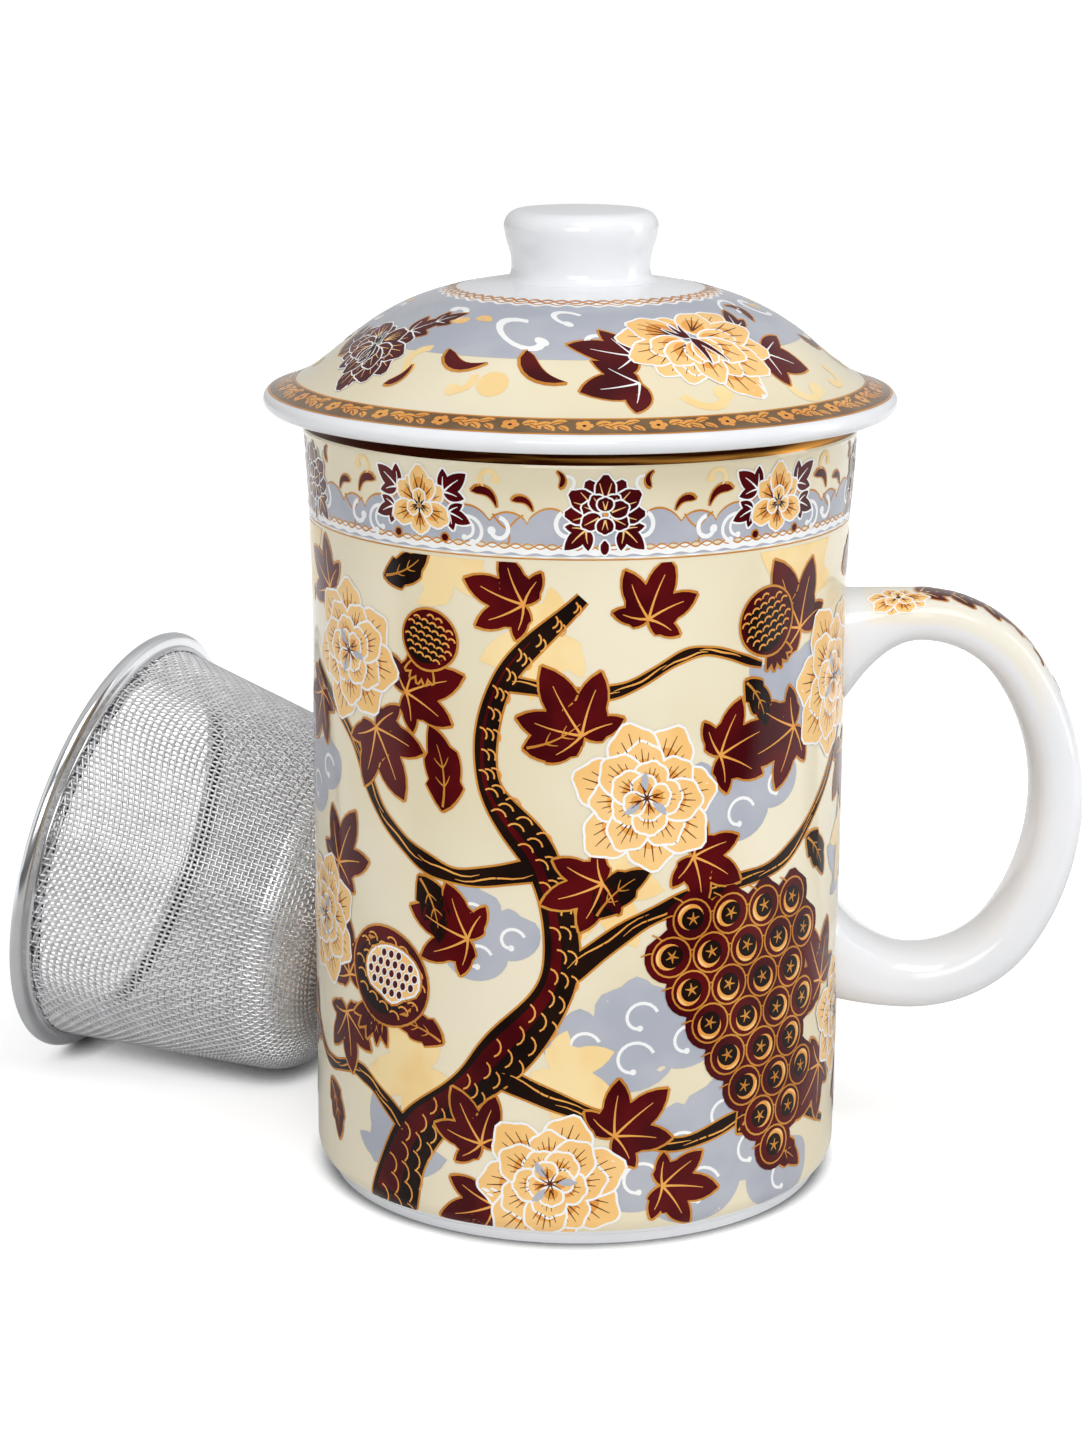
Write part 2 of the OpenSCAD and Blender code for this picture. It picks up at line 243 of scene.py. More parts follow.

# %% [markdown]
# ## Floor
# The floor is a plain sheet. It adds a glow for the camera, which grows with the distance, so
# that the far floor merges with the white background. Where something stands close over it, the
# camera sees the glow fade and the paper darkened nearly to black: a painted contact shadow
# under the foot and the basket. A mirror-like surface sees the floor bright behind the mug,
# and dark in front of it, where it would lay a grey haze over the inks.

# %% Floor
floor_half = 1.5
paper_white = (0.82, 0.82, 0.82, 1.0)
paper_mirrored = (0.16, 0.16, 0.16, 1.0)
# Near-black paper for the painted contact shadow.
painted_shadow_paper = (0.05, 0.05, 0.05, 1.0)
near_glow = 0.54
mirrored_glow = 0.7
floor_mesh = bmesh.new()
bmesh.ops.create_grid(floor_mesh, x_segments=1, y_segments=1, size=floor_half)
floor = bpy.data.objects.new("floor", bpy.data.meshes.new("floor"))
floor_mesh.to_mesh(floor.data)
floor_mesh.free()
bpy.context.scene.collection.objects.link(floor)
floor_paper = material("floor_paper")
camera_ray = floor_paper.node("ShaderNodeLightPath", output=0)
glossy_ray = camera_ray.beside("Is Glossy Ray")
mirrored_behind = glossy_ray * floor_paper.between(floor_paper.along(1), -110 * mm, -50 * mm)
# Painted contact shadow: for the camera, ambient occlusion fades the glow and darkens the paper.
clear = floor_paper.node("ShaderNodeAmbientOcclusion", {"samples": 6}, {"Distance": 5 * mm}, output=1)
painted_contact_shadow = camera_ray * floor_paper.between(1 - clear, 0.32, 0.84)
paper = floor_paper.blend(painted_contact_shadow, paper_white, painted_shadow_paper)
paper = floor_paper.blend(glossy_ray - mirrored_behind, paper, paper_mirrored)
beyond = floor_paper.between(floor_paper.length(floor_paper.place()), 90 * mm, 340 * mm)
glow = camera_ray * (beyond * (1.0 - near_glow) + near_glow) * (1 - painted_contact_shadow)
glow = glow + mirrored_behind * beyond * mirrored_glow
floor_paper.shade({"Base Color": paper, "Roughness": 0.9, "Specular IOR Level": 0.0,
                   "Emission Color": glow, "Emission Strength": 1.0})
floor.data.materials.append(floor_paper.owner)
print("floor", 2 * floor_half, "m wide")

# %% [markdown]
# ## Glazes and metals
# Porcelain is a white body under a clear glossy glaze. It could be one flat white, but real
# glaze pools and thins, so its colour and gloss drift a little and its surface is never quite
# true. The cream ground is printed only on the outside: a mask made from height and distance to
# the axis keeps the mug's inside and foot white, and a sloping line does so in the lid's hollow.

# %% Porcelain
white_clay = colour(244, 245, 248)
white_pooled = colour(236, 238, 241)
cream_light = colour(243, 234, 208)
cream_deep = colour(236, 224, 192)


def glaze(finish, base, mirror=0.5):
    """Gives a material the gloss and the slight waviness of a fired glaze."""
    waves = {"Height": finish.noise(95.0, 1.0), "Strength": 0.10, "Distance": 0.4 * mm}
    return finish.shade({
        "Base Color": base, "Roughness": finish.noise(55.0) * 0.05 + 0.07, "IOR": 1.52,
        "Specular IOR Level": mirror, "Normal": finish.node("ShaderNodeBump", {}, waves)})


def drifting(finish, first, second, scale=28.0):
    """A colour that drifts between two tones."""
    share = finish.between(finish.noise(scale), 0.35, 0.65)
    return finish.blend(share, first, second)


def white_glaze():
    finish = material("white_glaze")
    return glaze(finish, drifting(finish, white_clay, white_pooled))


def ground_glaze(name, low_z, high_z, inner_r, outer_r, line_z=0.0, line_slope=0.0):
    """White porcelain with the cream ground between two heights and two distances from the axis.

    It also lies above a line that falls outwards from a height at the axis. All lengths are in mm.
    """
    finish = material(name)
    low_z, high_z, inner_r, outer_r, line_z = (
        value * mm for value in (low_z, high_z, inner_r, outer_r, line_z))
    height = finish.along(2)
    reach = finish.length(finish.stretched((1, 1, 0)))
    edge = 0.15 * mm
    inside_heights = finish.between(height, low_z - edge, low_z + edge) * (
        1 - finish.between(height, high_z - edge, high_z + edge))
    inside_reach = finish.between(reach, inner_r - edge, inner_r + edge) * (
        1 - finish.between(reach, outer_r - edge, outer_r + edge))
    above_line = finish.between(height + reach * line_slope, line_z - edge, line_z + edge)
    cream = drifting(finish, cream_light, cream_deep)
    white = drifting(finish, white_clay, white_pooled)
    return glaze(finish, finish.blend(inside_heights * inside_reach * above_line, white, cream))


# %% [markdown]
# Steel and gold lustre show little but what they mirror, so they are metals. The rim is
# polished, and its gloss drifts in soft patches. Drawn wire is duller. A strip of dark steel is
# painted shadow, for the shadowed gap under the rim. Lustre is brushed on round the lip, and its
# colour is painted reflection: streaks of dark amber and bright gold, drawn out round the lip.

# %% Metals
def metal(name, tone, roughness, drift, scale, metallic=1.0):
    finish = material(name)
    dark = tuple(0.88 * value for value in tone[:3]) + (1.0,)
    return finish.shade({
        "Base Color": drifting(finish, tone, dark, scale), "Metallic": metallic,
        "Roughness": finish.noise(scale) * drift + roughness})


polished_steel = metal("polished_steel", colour(222, 223, 225), 0.12, 0.10, 60.0)
drawn_wire = metal("drawn_wire", colour(246, 246, 248), 0.28, 0.12, 400.0, 0.85)
# Dark steel used as painted shadow along the clamp band.
painted_shadow_steel = metal("painted_shadow_steel", colour(32, 30, 30), 0.5, 0.15, 400.0, 0.5)


def lustre_with_painted_reflections():
    finish = material("lip_lustre")
    # Painted reflection: the streaks of dark amber and bright gold stand for what the lip mirrors.
    thin = finish.between(finish.noise(1.0, 3.0, finish.stretched((26, 26, 900))), 0.47, 0.70)
    tone = finish.blend(thin, colour(58, 20, 5), colour(226, 158, 70))
    return finish.shade({"Base Color": tone, "Metallic": 1.0, "Roughness": thin * 0.15 + 0.12})


lip_lustre = lustre_with_painted_reflections()
print("metals:", polished_steel.name, drawn_wire.name, painted_shadow_steel.name, lip_lustre.name)

# %% [markdown]
# ## Turning on the wheel
# Mug, lid, knob and rim are round, so each is a profile spun once round its axis. The profile
# is a chain of edges in the X-Z plane; the spin operator makes all of the faces. Points on the
# axis and the seam are then merged, and only real corners are marked sharp.

# %% Arcs and curves
def arc(centre, radius, start, end, steps):
    """Points on an arc, with its angles in degrees."""
    angles = [math.radians(start + (end - start) * i / steps) for i in range(steps + 1)]
    return [(centre[0] + radius * math.cos(a), centre[1] + radius * math.sin(a)) for a in angles]


def cubic(ends, handles, steps):
    """Points on a cubic curve between two ends, drawn out by two handles."""
    points = []
    for i in range(steps + 1):
        t = i / steps
        weights = ((1 - t) ** 3, 3 * (1 - t) ** 2 * t, 3 * (1 - t) * t * t, t ** 3)
        corners = (ends[0], handles[0], handles[1], ends[1])
        points.append(tuple(sum(w * c[k] for w, c in zip(weights, corners)) for k in (0, 1)))
    return points


# %% Turning and showing a piece
turn_steps = 192
steel_steps = 240
corner_angle = math.radians(35)
all_smooth = 3.0


def shown(name, mesh, look, body, sharp=corner_angle):
    """Turns a bmesh into a smooth-shaded piece that rides on a body."""
    for face in mesh.faces:
        face.smooth = True
    for edge in mesh.edges:
        edge.smooth = not (len(edge.link_faces) == 2 and edge.calc_face_angle(0.0) > sharp)
    piece = bpy.data.objects.new(name, bpy.data.meshes.new(name))
    mesh.to_mesh(piece.data)
    mesh.free()
    piece.data.materials.append(look)
    bpy.context.scene.collection.objects.link(piece)
    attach(piece, body)
    piece.data.calc_loop_triangles()
    print(f"{name}: {len(piece.data.loop_triangles)} triangles")
    return piece


def turned(profile, closed, steps=turn_steps):
    """A bmesh of a profile of (radius, height) points in mm, spun round the Z axis."""
    mesh = bmesh.new()
    points = [mesh.verts.new((r * mm, 0, z * mm)) for r, z in profile]
    pairs = list(zip(points, points[1:])) + ([(points[-1], points[0])] if closed else [])
    chain = [mesh.edges.new(pair) for pair in pairs]
    bmesh.ops.spin(
        mesh, geom=points + chain, cent=(0, 0, 0), axis=(0, 0, 1), angle=math.tau, steps=steps,
        use_merge=True)
    bmesh.ops.remove_doubles(mesh, verts=mesh.verts, dist=0.0005 * mm)
    bmesh.ops.recalc_face_normals(mesh, faces=mesh.faces)
    return mesh


# %% [markdown]
# ## Mug body
# The wall is straight up to a long shallow flare, ends in a round lip and stands on a foot
# ring. The flare is an arc of a very large circle. The main heights and widths come from the
# frame, and the rest are the potter's sizes.

# %% Mug body
mug_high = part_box("mug_body")[1]
mug_h = mug_high.z / mm
lip_edge_r = mug_high.x / mm
lip_flare = 1.2
flare_h = 28.0
wall_r = lip_edge_r - lip_flare
wall_t = 4.2
bore_r = wall_r - wall_t
lip_r = (lip_edge_r - bore_r) / 2
heel_r = 3.6
inner_heel_r = 8.0
foot_r = 36.7
foot_w = 2.4
foot_h = 1.0
floor_z = foot_h + 4.4
flare_z = mug_h - flare_h
flare_arc_r = (flare_h ** 2 + lip_flare ** 2) / (2 * lip_flare)


def mug_radius(z):
    """Radius of the mug's outside at a height: heel, straight wall and flare."""
    rise = max(z - flare_z, 0.0)
    drop = min(max(foot_h + heel_r - z, 0.0), heel_r)
    drawn_in = heel_r - math.sqrt(heel_r ** 2 - drop ** 2)
    return wall_r - drawn_in + flare_arc_r - math.sqrt(flare_arc_r ** 2 - rise ** 2)


lip_z = mug_h - lip_r
flare_heights = [flare_z + (lip_z - flare_z) * i / 16 for i in range(17)]
mug_profile = (
    [(0, foot_h), (foot_r - foot_w, foot_h), (foot_r - foot_w, 0), (foot_r, 0)]
    + arc((wall_r - heel_r, foot_h + heel_r), heel_r, -60, 0, 12)
    + [(wall_r, flare_z * share) for share in (0.3, 0.6, 0.9)]
    + [(mug_radius(z), z) for z in flare_heights]
    + arc((lip_edge_r - lip_r, lip_z), lip_r, 8, 180, 24)
    + [(bore_r, lip_z * share) for share in (0.75, 0.5, 0.25)]
    + arc((bore_r - inner_heel_r, floor_z + inner_heel_r), inner_heel_r, 0, -90, 14)
    + [(0, floor_z)]
)
ground_low = 2.5
ground_high = 112.4
mug_glaze = ground_glaze("mug_glaze", ground_low, ground_high, inner_r=37.2, outer_r=60.0)
mug = shown("mug_porcelain", turned(mug_profile, False), mug_glaze, "mug")
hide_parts("mug_body")

# %% [markdown]
# ## Gold line on the lip
# A band of gold lustre runs round the lip. It is brushed on, a few hundredths of a millimetre
# thick, so it is a thin turned shell, half sunk in the glaze, that follows the lip.

# %% Gold line on the lip
lustre_h = 0.04
lip_centre = (lip_edge_r - lip_r, lip_z)
lustre_start, lustre_end = 16, 120
lustre_out = arc(lip_centre, lip_r + lustre_h, lustre_start, lustre_end, 18)
lustre_in = arc(lip_centre, lip_r - lustre_h, lustre_end, lustre_start, 18)
shown("lip_gold_line", turned(lustre_out + lustre_in, True), lip_lustre, "mug")

# %% [markdown]
# ## Handle
# The strap is rolled clay bent into a loop and stuck on with slip, so it swells where it meets
# the wall. It is made by carrying one ring along the loop: a circle is squared off a little,
# then its edges are extruded from station to station, and each new ring is put in its place.

# %% Handle sizes
handle_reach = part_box("mug_handle")[1].x / mm
strap_t_top = 7.2
strap_t_low = 9.0
strap_w = 13.4
loop_half = 27.75
handle_z = 56.2
corner_r = 18.0
bar_len = 10.9
corner_x = wall_r + bar_len
loop_x = handle_reach - (strap_t_low + (strap_t_top - strap_t_low) * math.sqrt(0.5)) / 2
root_len = 11.0
root_side = 1.8
root_spread_top = 9.0
root_spread_low = 7.0
root_low_draw = 1.4
loop_lean = 1.2
strap_sides = 48
squareness = 2.5

# The side of the loop is one arc that runs smoothly into both corners
loop_rx = loop_x - corner_x
side_r = (2 * corner_r * loop_half - loop_half ** 2 - loop_rx ** 2) / (2 * (corner_r - loop_rx))
side_x = loop_x - side_r
corner_dz = loop_half - corner_r
join = math.degrees(math.atan2(corner_dz, corner_x - side_x))
root_depth = 2.0
root_x = wall_r - root_depth

# %% Handle's loop and skin
def spread(start, end, steps):
    return [start + (end - start) * i / steps for i in range(steps + 1)]


def loop_stations():
    """Centre points of the strap with the direction of its outer face, from top root to bottom."""
    bar = [root_x + (corner_x - root_x) * i / 14 for i in range(14)]
    top = [(x, loop_half, 90.0) for x in bar]
    bend = zip(arc((corner_x, corner_dz), corner_r, 90, join, 14), spread(90, join, 14))
    side = zip(arc((side_x, 0), side_r, join, 0, 12), spread(join, 0, 12))
    upper = top + [(*p, a) for p, a in bend] + [(*p, a) for p, a in side][1:]
    lower = [(x, -z, -a) for x, z, a in reversed(upper[:-1])]
    return [(x, handle_z + z, math.radians(a)) for x, z, a in upper + lower]


def power(value, exponent):
    return math.copysign(abs(value) ** exponent, value)


def strap_point(station, turn, lift=0.0):
    """A point on the strap's skin, in mm; turn 0 is the middle of the outer face."""
    x, z, facing = station
    on_bar = abs(z - handle_z) >= corner_dz
    closeness = max(0.0, 1 - max(0.0, x - wall_r) / root_len) if on_bar else 0.0
    growth = closeness ** 2
    upper = z > handle_z
    swell = growth * (root_spread_top if upper else root_spread_low)
    draw = 0 if upper else growth * root_low_draw
    fall = 0 if upper else (handle_z - z) / loop_half
    x += loop_lean * fall ** 2 * (x - wall_r) / (handle_reach - wall_r)
    share = max(0.0, (z - handle_z + loop_half) / (2 * loop_half))
    thick = strap_t_low + (strap_t_top - strap_t_low) * math.sqrt(share)
    wide = strap_w + 2 * root_side * growth
    out = (thick + swell - draw) / 2 * power(math.cos(turn), 2 / squareness) - (swell + draw) / 2
    across = wide / 2 * power(math.sin(turn), 2 / squareness)
    skin = Vector((x + out * math.cos(facing), across, z + out * math.sin(facing)))
    lifted = Vector((math.cos(facing) * math.cos(turn), math.sin(turn), math.sin(facing) * math.cos(turn)))
    return skin + lifted * lift


stations = loop_stations()
print("handle loop of", len(stations), "stations")

# %% Handle mesh
handle_mesh = bmesh.new()
ring = bmesh.ops.create_circle(handle_mesh, cap_ends=True, segments=strap_sides, radius=1.0)["verts"]
turns = [math.tau * i / strap_sides for i in range(strap_sides)]
for number, station in enumerate(stations):
    if number:
        edges = {edge for vert in ring for edge in vert.link_edges
                 if edge.other_vert(vert) in ring and not (number > 1 and len(edge.link_faces) > 1)}
        grown = bmesh.ops.extrude_edge_only(handle_mesh, edges=list(edges))["geom"]
        fresh = [item for item in grown if isinstance(item, bmesh.types.BMVert)]
        here = {vert.co.copy().freeze(): vert for vert in fresh}
        ring = [here[vert.co.copy().freeze()] for vert in ring]
    for vert, turn in zip(ring, turns):
        vert.co = strap_point(station, turn) * mm
bmesh.ops.contextual_create(handle_mesh, geom=ring)
bmesh.ops.recalc_face_normals(handle_mesh, faces=handle_mesh.faces)


# %% Handle glaze
def tinted_glaze():
    """White glaze with a cream tint on the upper outer half of the loop, round the sprig."""
    finish = material("handle_glaze")
    x, z = finish.along(0), finish.along(2)
    past_corner = finish.node("ShaderNodeMath", {"operation": "MAXIMUM"}, {0: x - corner_x * mm, 1: 0.0})
    outwards = finish.node("ShaderNodeCombineXYZ", {}, {0: past_corner, 1: z - (handle_z + corner_dz) * mm})
    reach = finish.length(outwards)
    start = finish.between(x, (wall_r + 1.5) * mm, (wall_r + 4.0) * mm)
    stop = 1 - finish.between(x, (corner_x + 14.0) * mm, (corner_x + 22.0) * mm)
    upper = finish.between(z, (handle_z + corner_dz) * mm, (handle_z + corner_dz + 8.0) * mm)
    outer = finish.between(reach, (corner_r - 0.9) * mm, (corner_r + 0.5) * mm)
    white = drifting(finish, white_clay, white_pooled)
    return glaze(finish, finish.blend(start * stop * upper * outer * 0.65, white, cream_light))


handle = shown("handle_porcelain", handle_mesh, tinted_glaze(), "mug")
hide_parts("mug_handle")

# %% [markdown]
# ## Lid and knob
# The lid's section is one curve that swings up from the brim and over to the knob's seat. Under
# it are a hollow and a collar that drops into the mouth. The knob is turned apart, as on the
# real one, and sits face to face on the dome.

# %% Lid
knob_low, knob_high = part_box("lid_knob")
flange_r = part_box("lid_dome")[1].x / mm
collar_depth = 5.0
lid_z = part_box("lid_dome")[0].z / mm + collar_depth
knob_z = knob_low.z / mm
knob_h = (knob_high.z - knob_low.z) / mm
seat_r = knob_high.x / mm
edge_r = 1.45
edge_x = flange_r - edge_r
brim_z = lid_z + 2 * edge_r
shoulder_in = 11.1
brim_rise = 3.6
seat_fall = 2.7
shoulder_x = edge_x - shoulder_in
ogee = cubic(((edge_x, brim_z), (seat_r, knob_z)),
             ((shoulder_x, brim_z + brim_rise), (shoulder_x, knob_z - seat_fall)), 60)
collar_r = 31.3
collar_bore_r = 28.5
collar_round = 0.8
collar_low = lid_z - collar_depth + collar_round
dome_t = 3.2
hollow_z = knob_z - dome_t
lid_profile = (
    [(0, knob_z)]
    + ogee[::-1]
    + arc((edge_x, lid_z + edge_r), edge_r, 80, -90, 20)
    + [(collar_r, lid_z)]
    + arc((collar_r - collar_round, collar_low), collar_round, 0, -90, 5)
    + arc((collar_bore_r + collar_round, collar_low), collar_round, -90, -180, 5)
    + cubic(((collar_bore_r, lid_z + 4.0), (0, hollow_z)),
            ((collar_bore_r, hollow_z - seat_fall), (collar_bore_r / 2, hollow_z)), 20)
)
lid_glaze = ground_glaze(
    "lid_glaze", low_z=117.0, high_z=132.0, inner_r=19.5, outer_r=44.7, line_z=140.5, line_slope=0.58)
lid = shown("lid_porcelain", turned(lid_profile, False), lid_glaze, "lid")
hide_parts("lid_dome")

# %% Knob
knob_r = 11.05
waist_r = 10.0
round_r = 2.3
crown = 0.4
fillet_h = 2.2
round_z = knob_z + knob_h - crown - round_r
waist_z = knob_z + fillet_h
ease = (round_z - waist_z) / 2.5
crown_r = knob_r - round_r
knob_profile = (
    [(0, knob_z)]
    + cubic(((seat_r, knob_z), (waist_r, waist_z)), ((waist_r, knob_z), (waist_r, knob_z + fillet_h / 2)), 10)
    + cubic(((waist_r, waist_z), (knob_r, round_z)),
            ((waist_r, waist_z + ease), (knob_r, round_z - ease)), 12)[1:]
    + arc((crown_r, round_z), round_r, 8, 80, 10)
    + [(crown_r * share, knob_z + knob_h - crown * share ** 2) for share in (0.9, 0.7, 0.45, 0.2, 0)]
)
knob = shown("knob_porcelain", turned(knob_profile, False), white_glaze(), "lid")
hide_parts("lid_knob")

# %% [markdown]
# ## How the infuser lies
# The infuser is made upright, with its rim at zero height and the basket hanging below it, and
# then laid down: rim and basket heel both touch the table. The tilt follows from the two
# touching circles, and the place from the part of the heel that is nearest to the mug.

# %% Laying the infuser down
rim_overlap = 0.7
neck_play = 1.3
rim_r = bore_r + rim_overlap
bead_r = 1.0
neck_r = bore_r - neck_play
neck_len = 1.9
sheet_t = 0.6
mesh_t = 0.6
basket_r = 28.0
basket_heel = 10.0
basket_depth = 44.5
mug_gap = 4.5
rest_dx = (rim_r - bead_r) - (basket_r - basket_heel)
rest_dz = basket_depth - basket_heel
tilt = math.acos((basket_heel - bead_r) / math.hypot(rest_dx, rest_dz)) - math.atan2(rest_dz, rest_dx)
turn_z = math.radians(-19.6)
bearing = math.radians(155.9)
heel_dist = wall_r + mug_gap + basket_heel
heel_out = rest_dz * math.cos(tilt)
heel_side = basket_r - basket_heel
rim_centre = Vector((
    heel_dist * math.cos(bearing) - heel_out * math.cos(turn_z) - heel_side * math.sin(turn_z),
    heel_dist * math.sin(bearing) - heel_out * math.sin(turn_z) + heel_side * math.cos(turn_z),
    (rim_r - bead_r) * math.cos(tilt) + bead_r)) * mm
laid_down = (
    Matrix.Translation(rim_centre) @ Matrix.Rotation(turn_z, 4, "Z")
    @ Matrix.Rotation(tilt - math.pi / 2, 4, "Y"))
print("infuser lies at", [round(value / mm, 2) for value in rim_centre])


def laid_turned(name, profile, finish):
    """A steel piece of the infuser: a closed profile, turned upright and then laid down."""
    mesh = turned(profile, True, steel_steps)
    bmesh.ops.transform(mesh, matrix=laid_down, verts=mesh.verts)
    return shown(name, mesh, finish, "infuser")


# %% [markdown]
# ## Steel rim, clamp band and painted shadow strip
# The rim is spun from sheet: a short neck that grips the mesh against the clamp band inside it,
# then one smooth swelling curve out to the rolled edge. The clamp band follows the mesh down
# past the neck. Along it lies a dark strip that is painted shadow, for the shadowed gap under
# the rolled edge; it shows through the mesh as a dark line.

# %% Steel rim
mesh_top_r = neck_r - sheet_t
clamp_t = 0.5
clamp_below = 0.7
clamp_len = neck_len + clamp_below
clamp_r = mesh_top_r - mesh_t
half_sheet = sheet_t / 2
rim_profile = (
    [(clamp_r - clamp_t, half_sheet), (clamp_r - clamp_t, 0), (mesh_top_r, 0), (mesh_top_r, -neck_len),
     (neck_r, -neck_len)]
    + cubic(((neck_r, -neck_len + 0.3), (rim_r - 0.16, -0.62)),
            ((neck_r + 0.1, -1.25), (rim_r - 0.5, -1.35)), 14)
    + arc((rim_r - bead_r, -0.05), bead_r, -30, 90, 16)
    + cubic(((rim_r - bead_r, bead_r - 0.05), (mesh_top_r, half_sheet)),
            ((rim_r - 1.6, 0.95), (mesh_top_r + 0.6, 0.3)), 8)[1:]
)
rim = laid_turned("infuser_rim_steel", rim_profile, polished_steel)
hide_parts("infuser_rim")

# %% Clamp band
heel_x, heel_z = basket_r - basket_heel, -(basket_depth - basket_heel)
wall_dx, wall_dz = mesh_top_r - heel_x, -neck_len - heel_z
wall_slope = math.atan2(wall_dz, wall_dx) - math.acos(basket_heel / math.hypot(wall_dx, wall_dz))
clamp_drop = (clamp_len - neck_len) * math.tan(wall_slope)
clamp_profile = [
    (clamp_r, 0), (clamp_r, -neck_len), (clamp_r + clamp_drop, -clamp_len),
    (clamp_r - clamp_t + clamp_drop, -clamp_len), (clamp_r - clamp_t, -neck_len), (clamp_r - clamp_t, 0)]
clamp = laid_turned("infuser_clamp_steel", clamp_profile, polished_steel)
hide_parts("infuser_clamp_band")

# %% Painted shadow strip
# A dark steel strip of painted shadow, for the shadowed gap under the rolled edge.
shadow_strip_high = 0.7
shadow_strip_low = clamp_len + 0.1
shadow_strip_out = clamp_t - 0.1
shadow_strip_in = clamp_t + 0.15
shadow_strip_corners = ((shadow_strip_high, shadow_strip_out), (shadow_strip_low, shadow_strip_out), (shadow_strip_low, shadow_strip_in), (shadow_strip_high, shadow_strip_in))
laid_turned("infuser_painted_shadow_strip", [
    (clamp_r + max(z - neck_len, 0) * math.tan(wall_slope) - t, -z) for z, t in shadow_strip_corners], painted_shadow_steel)

# %% [markdown]
# ## Woven basket
# The basket is wire cloth pressed over a form. A see-through picture on a plain shell would
# look flat at its edges, so every wire is there: uprights along the wall and rings round it,
# each a grid rolled into a thin tube, passing over and under at every crossing. The press pulls
# the cloth down between its two main directions, so the rings dip four times round.

# %% Wire cloth
wire_r = 0.23
upright_count = 228
ring_pitch = 0.90
ring_dip = 9.0
dip_phase = math.radians(20)
wire_sides = 4
wall_run = math.hypot(
    wall_dx - basket_heel * math.cos(wall_slope), wall_dz - basket_heel * math.sin(wall_slope))
heel_turn = wall_slope + math.pi / 2
heel_run = basket_heel * heel_turn
cloth_r = 2 * wire_r


def cloth_point(s, angle, lift):
    """A point on the cloth: s mm down the wall, turned by an angle, lifted from its middle."""
    if s < wall_run:
        facing = wall_slope
        along = heel_x + (basket_heel - cloth_r) * math.cos(facing) + (wall_run - s) * -math.sin(facing)
        down = heel_z + (basket_heel - cloth_r) * math.sin(facing) + (wall_run - s) * math.cos(facing)
    elif s < wall_run + heel_run:
        facing = wall_slope - (s - wall_run) / basket_heel
        along = heel_x + (basket_heel - cloth_r) * math.cos(facing)
        down = heel_z + (basket_heel - cloth_r) * math.sin(facing)
    else:
        facing = -math.pi / 2
        along = heel_x - (s - wall_run - heel_run)
        down = heel_z - (basket_heel - cloth_r)
    radius = along + lift * math.cos(facing)
    return Vector((radius * math.cos(angle), radius * math.sin(angle), down + lift * math.sin(facing)))


def dipped(row, angle):
    """How far down the wall a ring lies at an angle."""
    s = row * ring_pitch
    share = max(0.0, 1 - s / wall_run)
    return s - ring_dip * share * (0.5 - 0.5 * math.cos(4 * (angle - dip_phase)))


# %% Wires
def add_wire(mesh, centres, lifts_out):
    """A grid rolled into a tube round a run of points."""
    steps = len(centres) - 1
    made = bmesh.ops.create_grid(mesh, x_segments=steps, y_segments=wire_sides, size=1.0)["verts"]
    for vert in made:
        number = round((vert.co.x + 1) / 2 * steps)
        around = (vert.co.y + 1) * math.pi
        ahead = centres[min(number + 1, steps)] - centres[max(number - 1, 0)]
        out = lifts_out[number]
        side = ahead.cross(out).normalized()
        vert.co = (centres[number] + (out * math.cos(around) + side * math.sin(around)) * wire_r) * mm


def outward(s, angle):
    return (cloth_point(s, angle, 1.0) - cloth_point(s, angle, 0.0)).normalized()


def over_under(upright, row):
    return wire_r if (upright + row) % 2 else -wire_r


def woven(name, mesh):
    """Closes each tube along its seam and at its ends, and lays the wires down."""
    bmesh.ops.remove_doubles(mesh, verts=mesh.verts, dist=0.001 * mm)
    open_edges = [edge for edge in mesh.edges if edge.is_boundary]
    bmesh.ops.holes_fill(mesh, edges=open_edges, sides=wire_sides)
    bmesh.ops.recalc_face_normals(mesh, faces=mesh.faces)
    bmesh.ops.transform(mesh, matrix=laid_down, verts=mesh.verts)
    return shown(name, mesh, drawn_wire, "infuser", all_smooth)


# %% Woven wall
under_floor = 0.6
last_s = wall_run + heel_run + under_floor
row_count = int((last_s + 0.001) / ring_pitch) + 1
dip_rows = math.ceil(ring_dip / ring_pitch)
angles = [math.tau * i / upright_count for i in range(upright_count)]
cloth_top = -1.4
upright_mesh = bmesh.new()
for i, angle in enumerate(angles):
    crossings = [(dipped(row, angle), over_under(i, row)) for row in range(row_count + dip_rows)]
    crossings = [(s, lift) for s, lift in crossings if cloth_top <= s <= last_s]
    centres = [cloth_point(s, angle, lift) for s, lift in crossings]
    add_wire(upright_mesh, centres, [outward(s, angle) for s, _ in crossings])
uprights = woven("basket_upright_wires", upright_mesh)

ring_mesh = bmesh.new()
for row in range(row_count + dip_rows):
    spots = [(dipped(row, angle), angle, -over_under(i, row)) for i, angle in enumerate(angles)]
    spots.append(spots[0])
    runs = [[]]
    for spot in spots:
        if cloth_top <= spot[0] <= last_s:
            runs[-1].append(spot)
        elif runs[-1]:
            runs.append([])
    for run_spots in runs:
        if len(run_spots) > 2:
            centres = [cloth_point(*spot) for spot in run_spots]
            add_wire(ring_mesh, centres, [outward(s, angle) for s, angle, _ in run_spots])
woven("basket_ring_wires", ring_mesh)
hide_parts("infuser_basket")

# %% [markdown]
# The floor of the basket is flat cloth. Two sets of straight wires cross inside a circle, and
# their ends reach under the last ring of the wall.

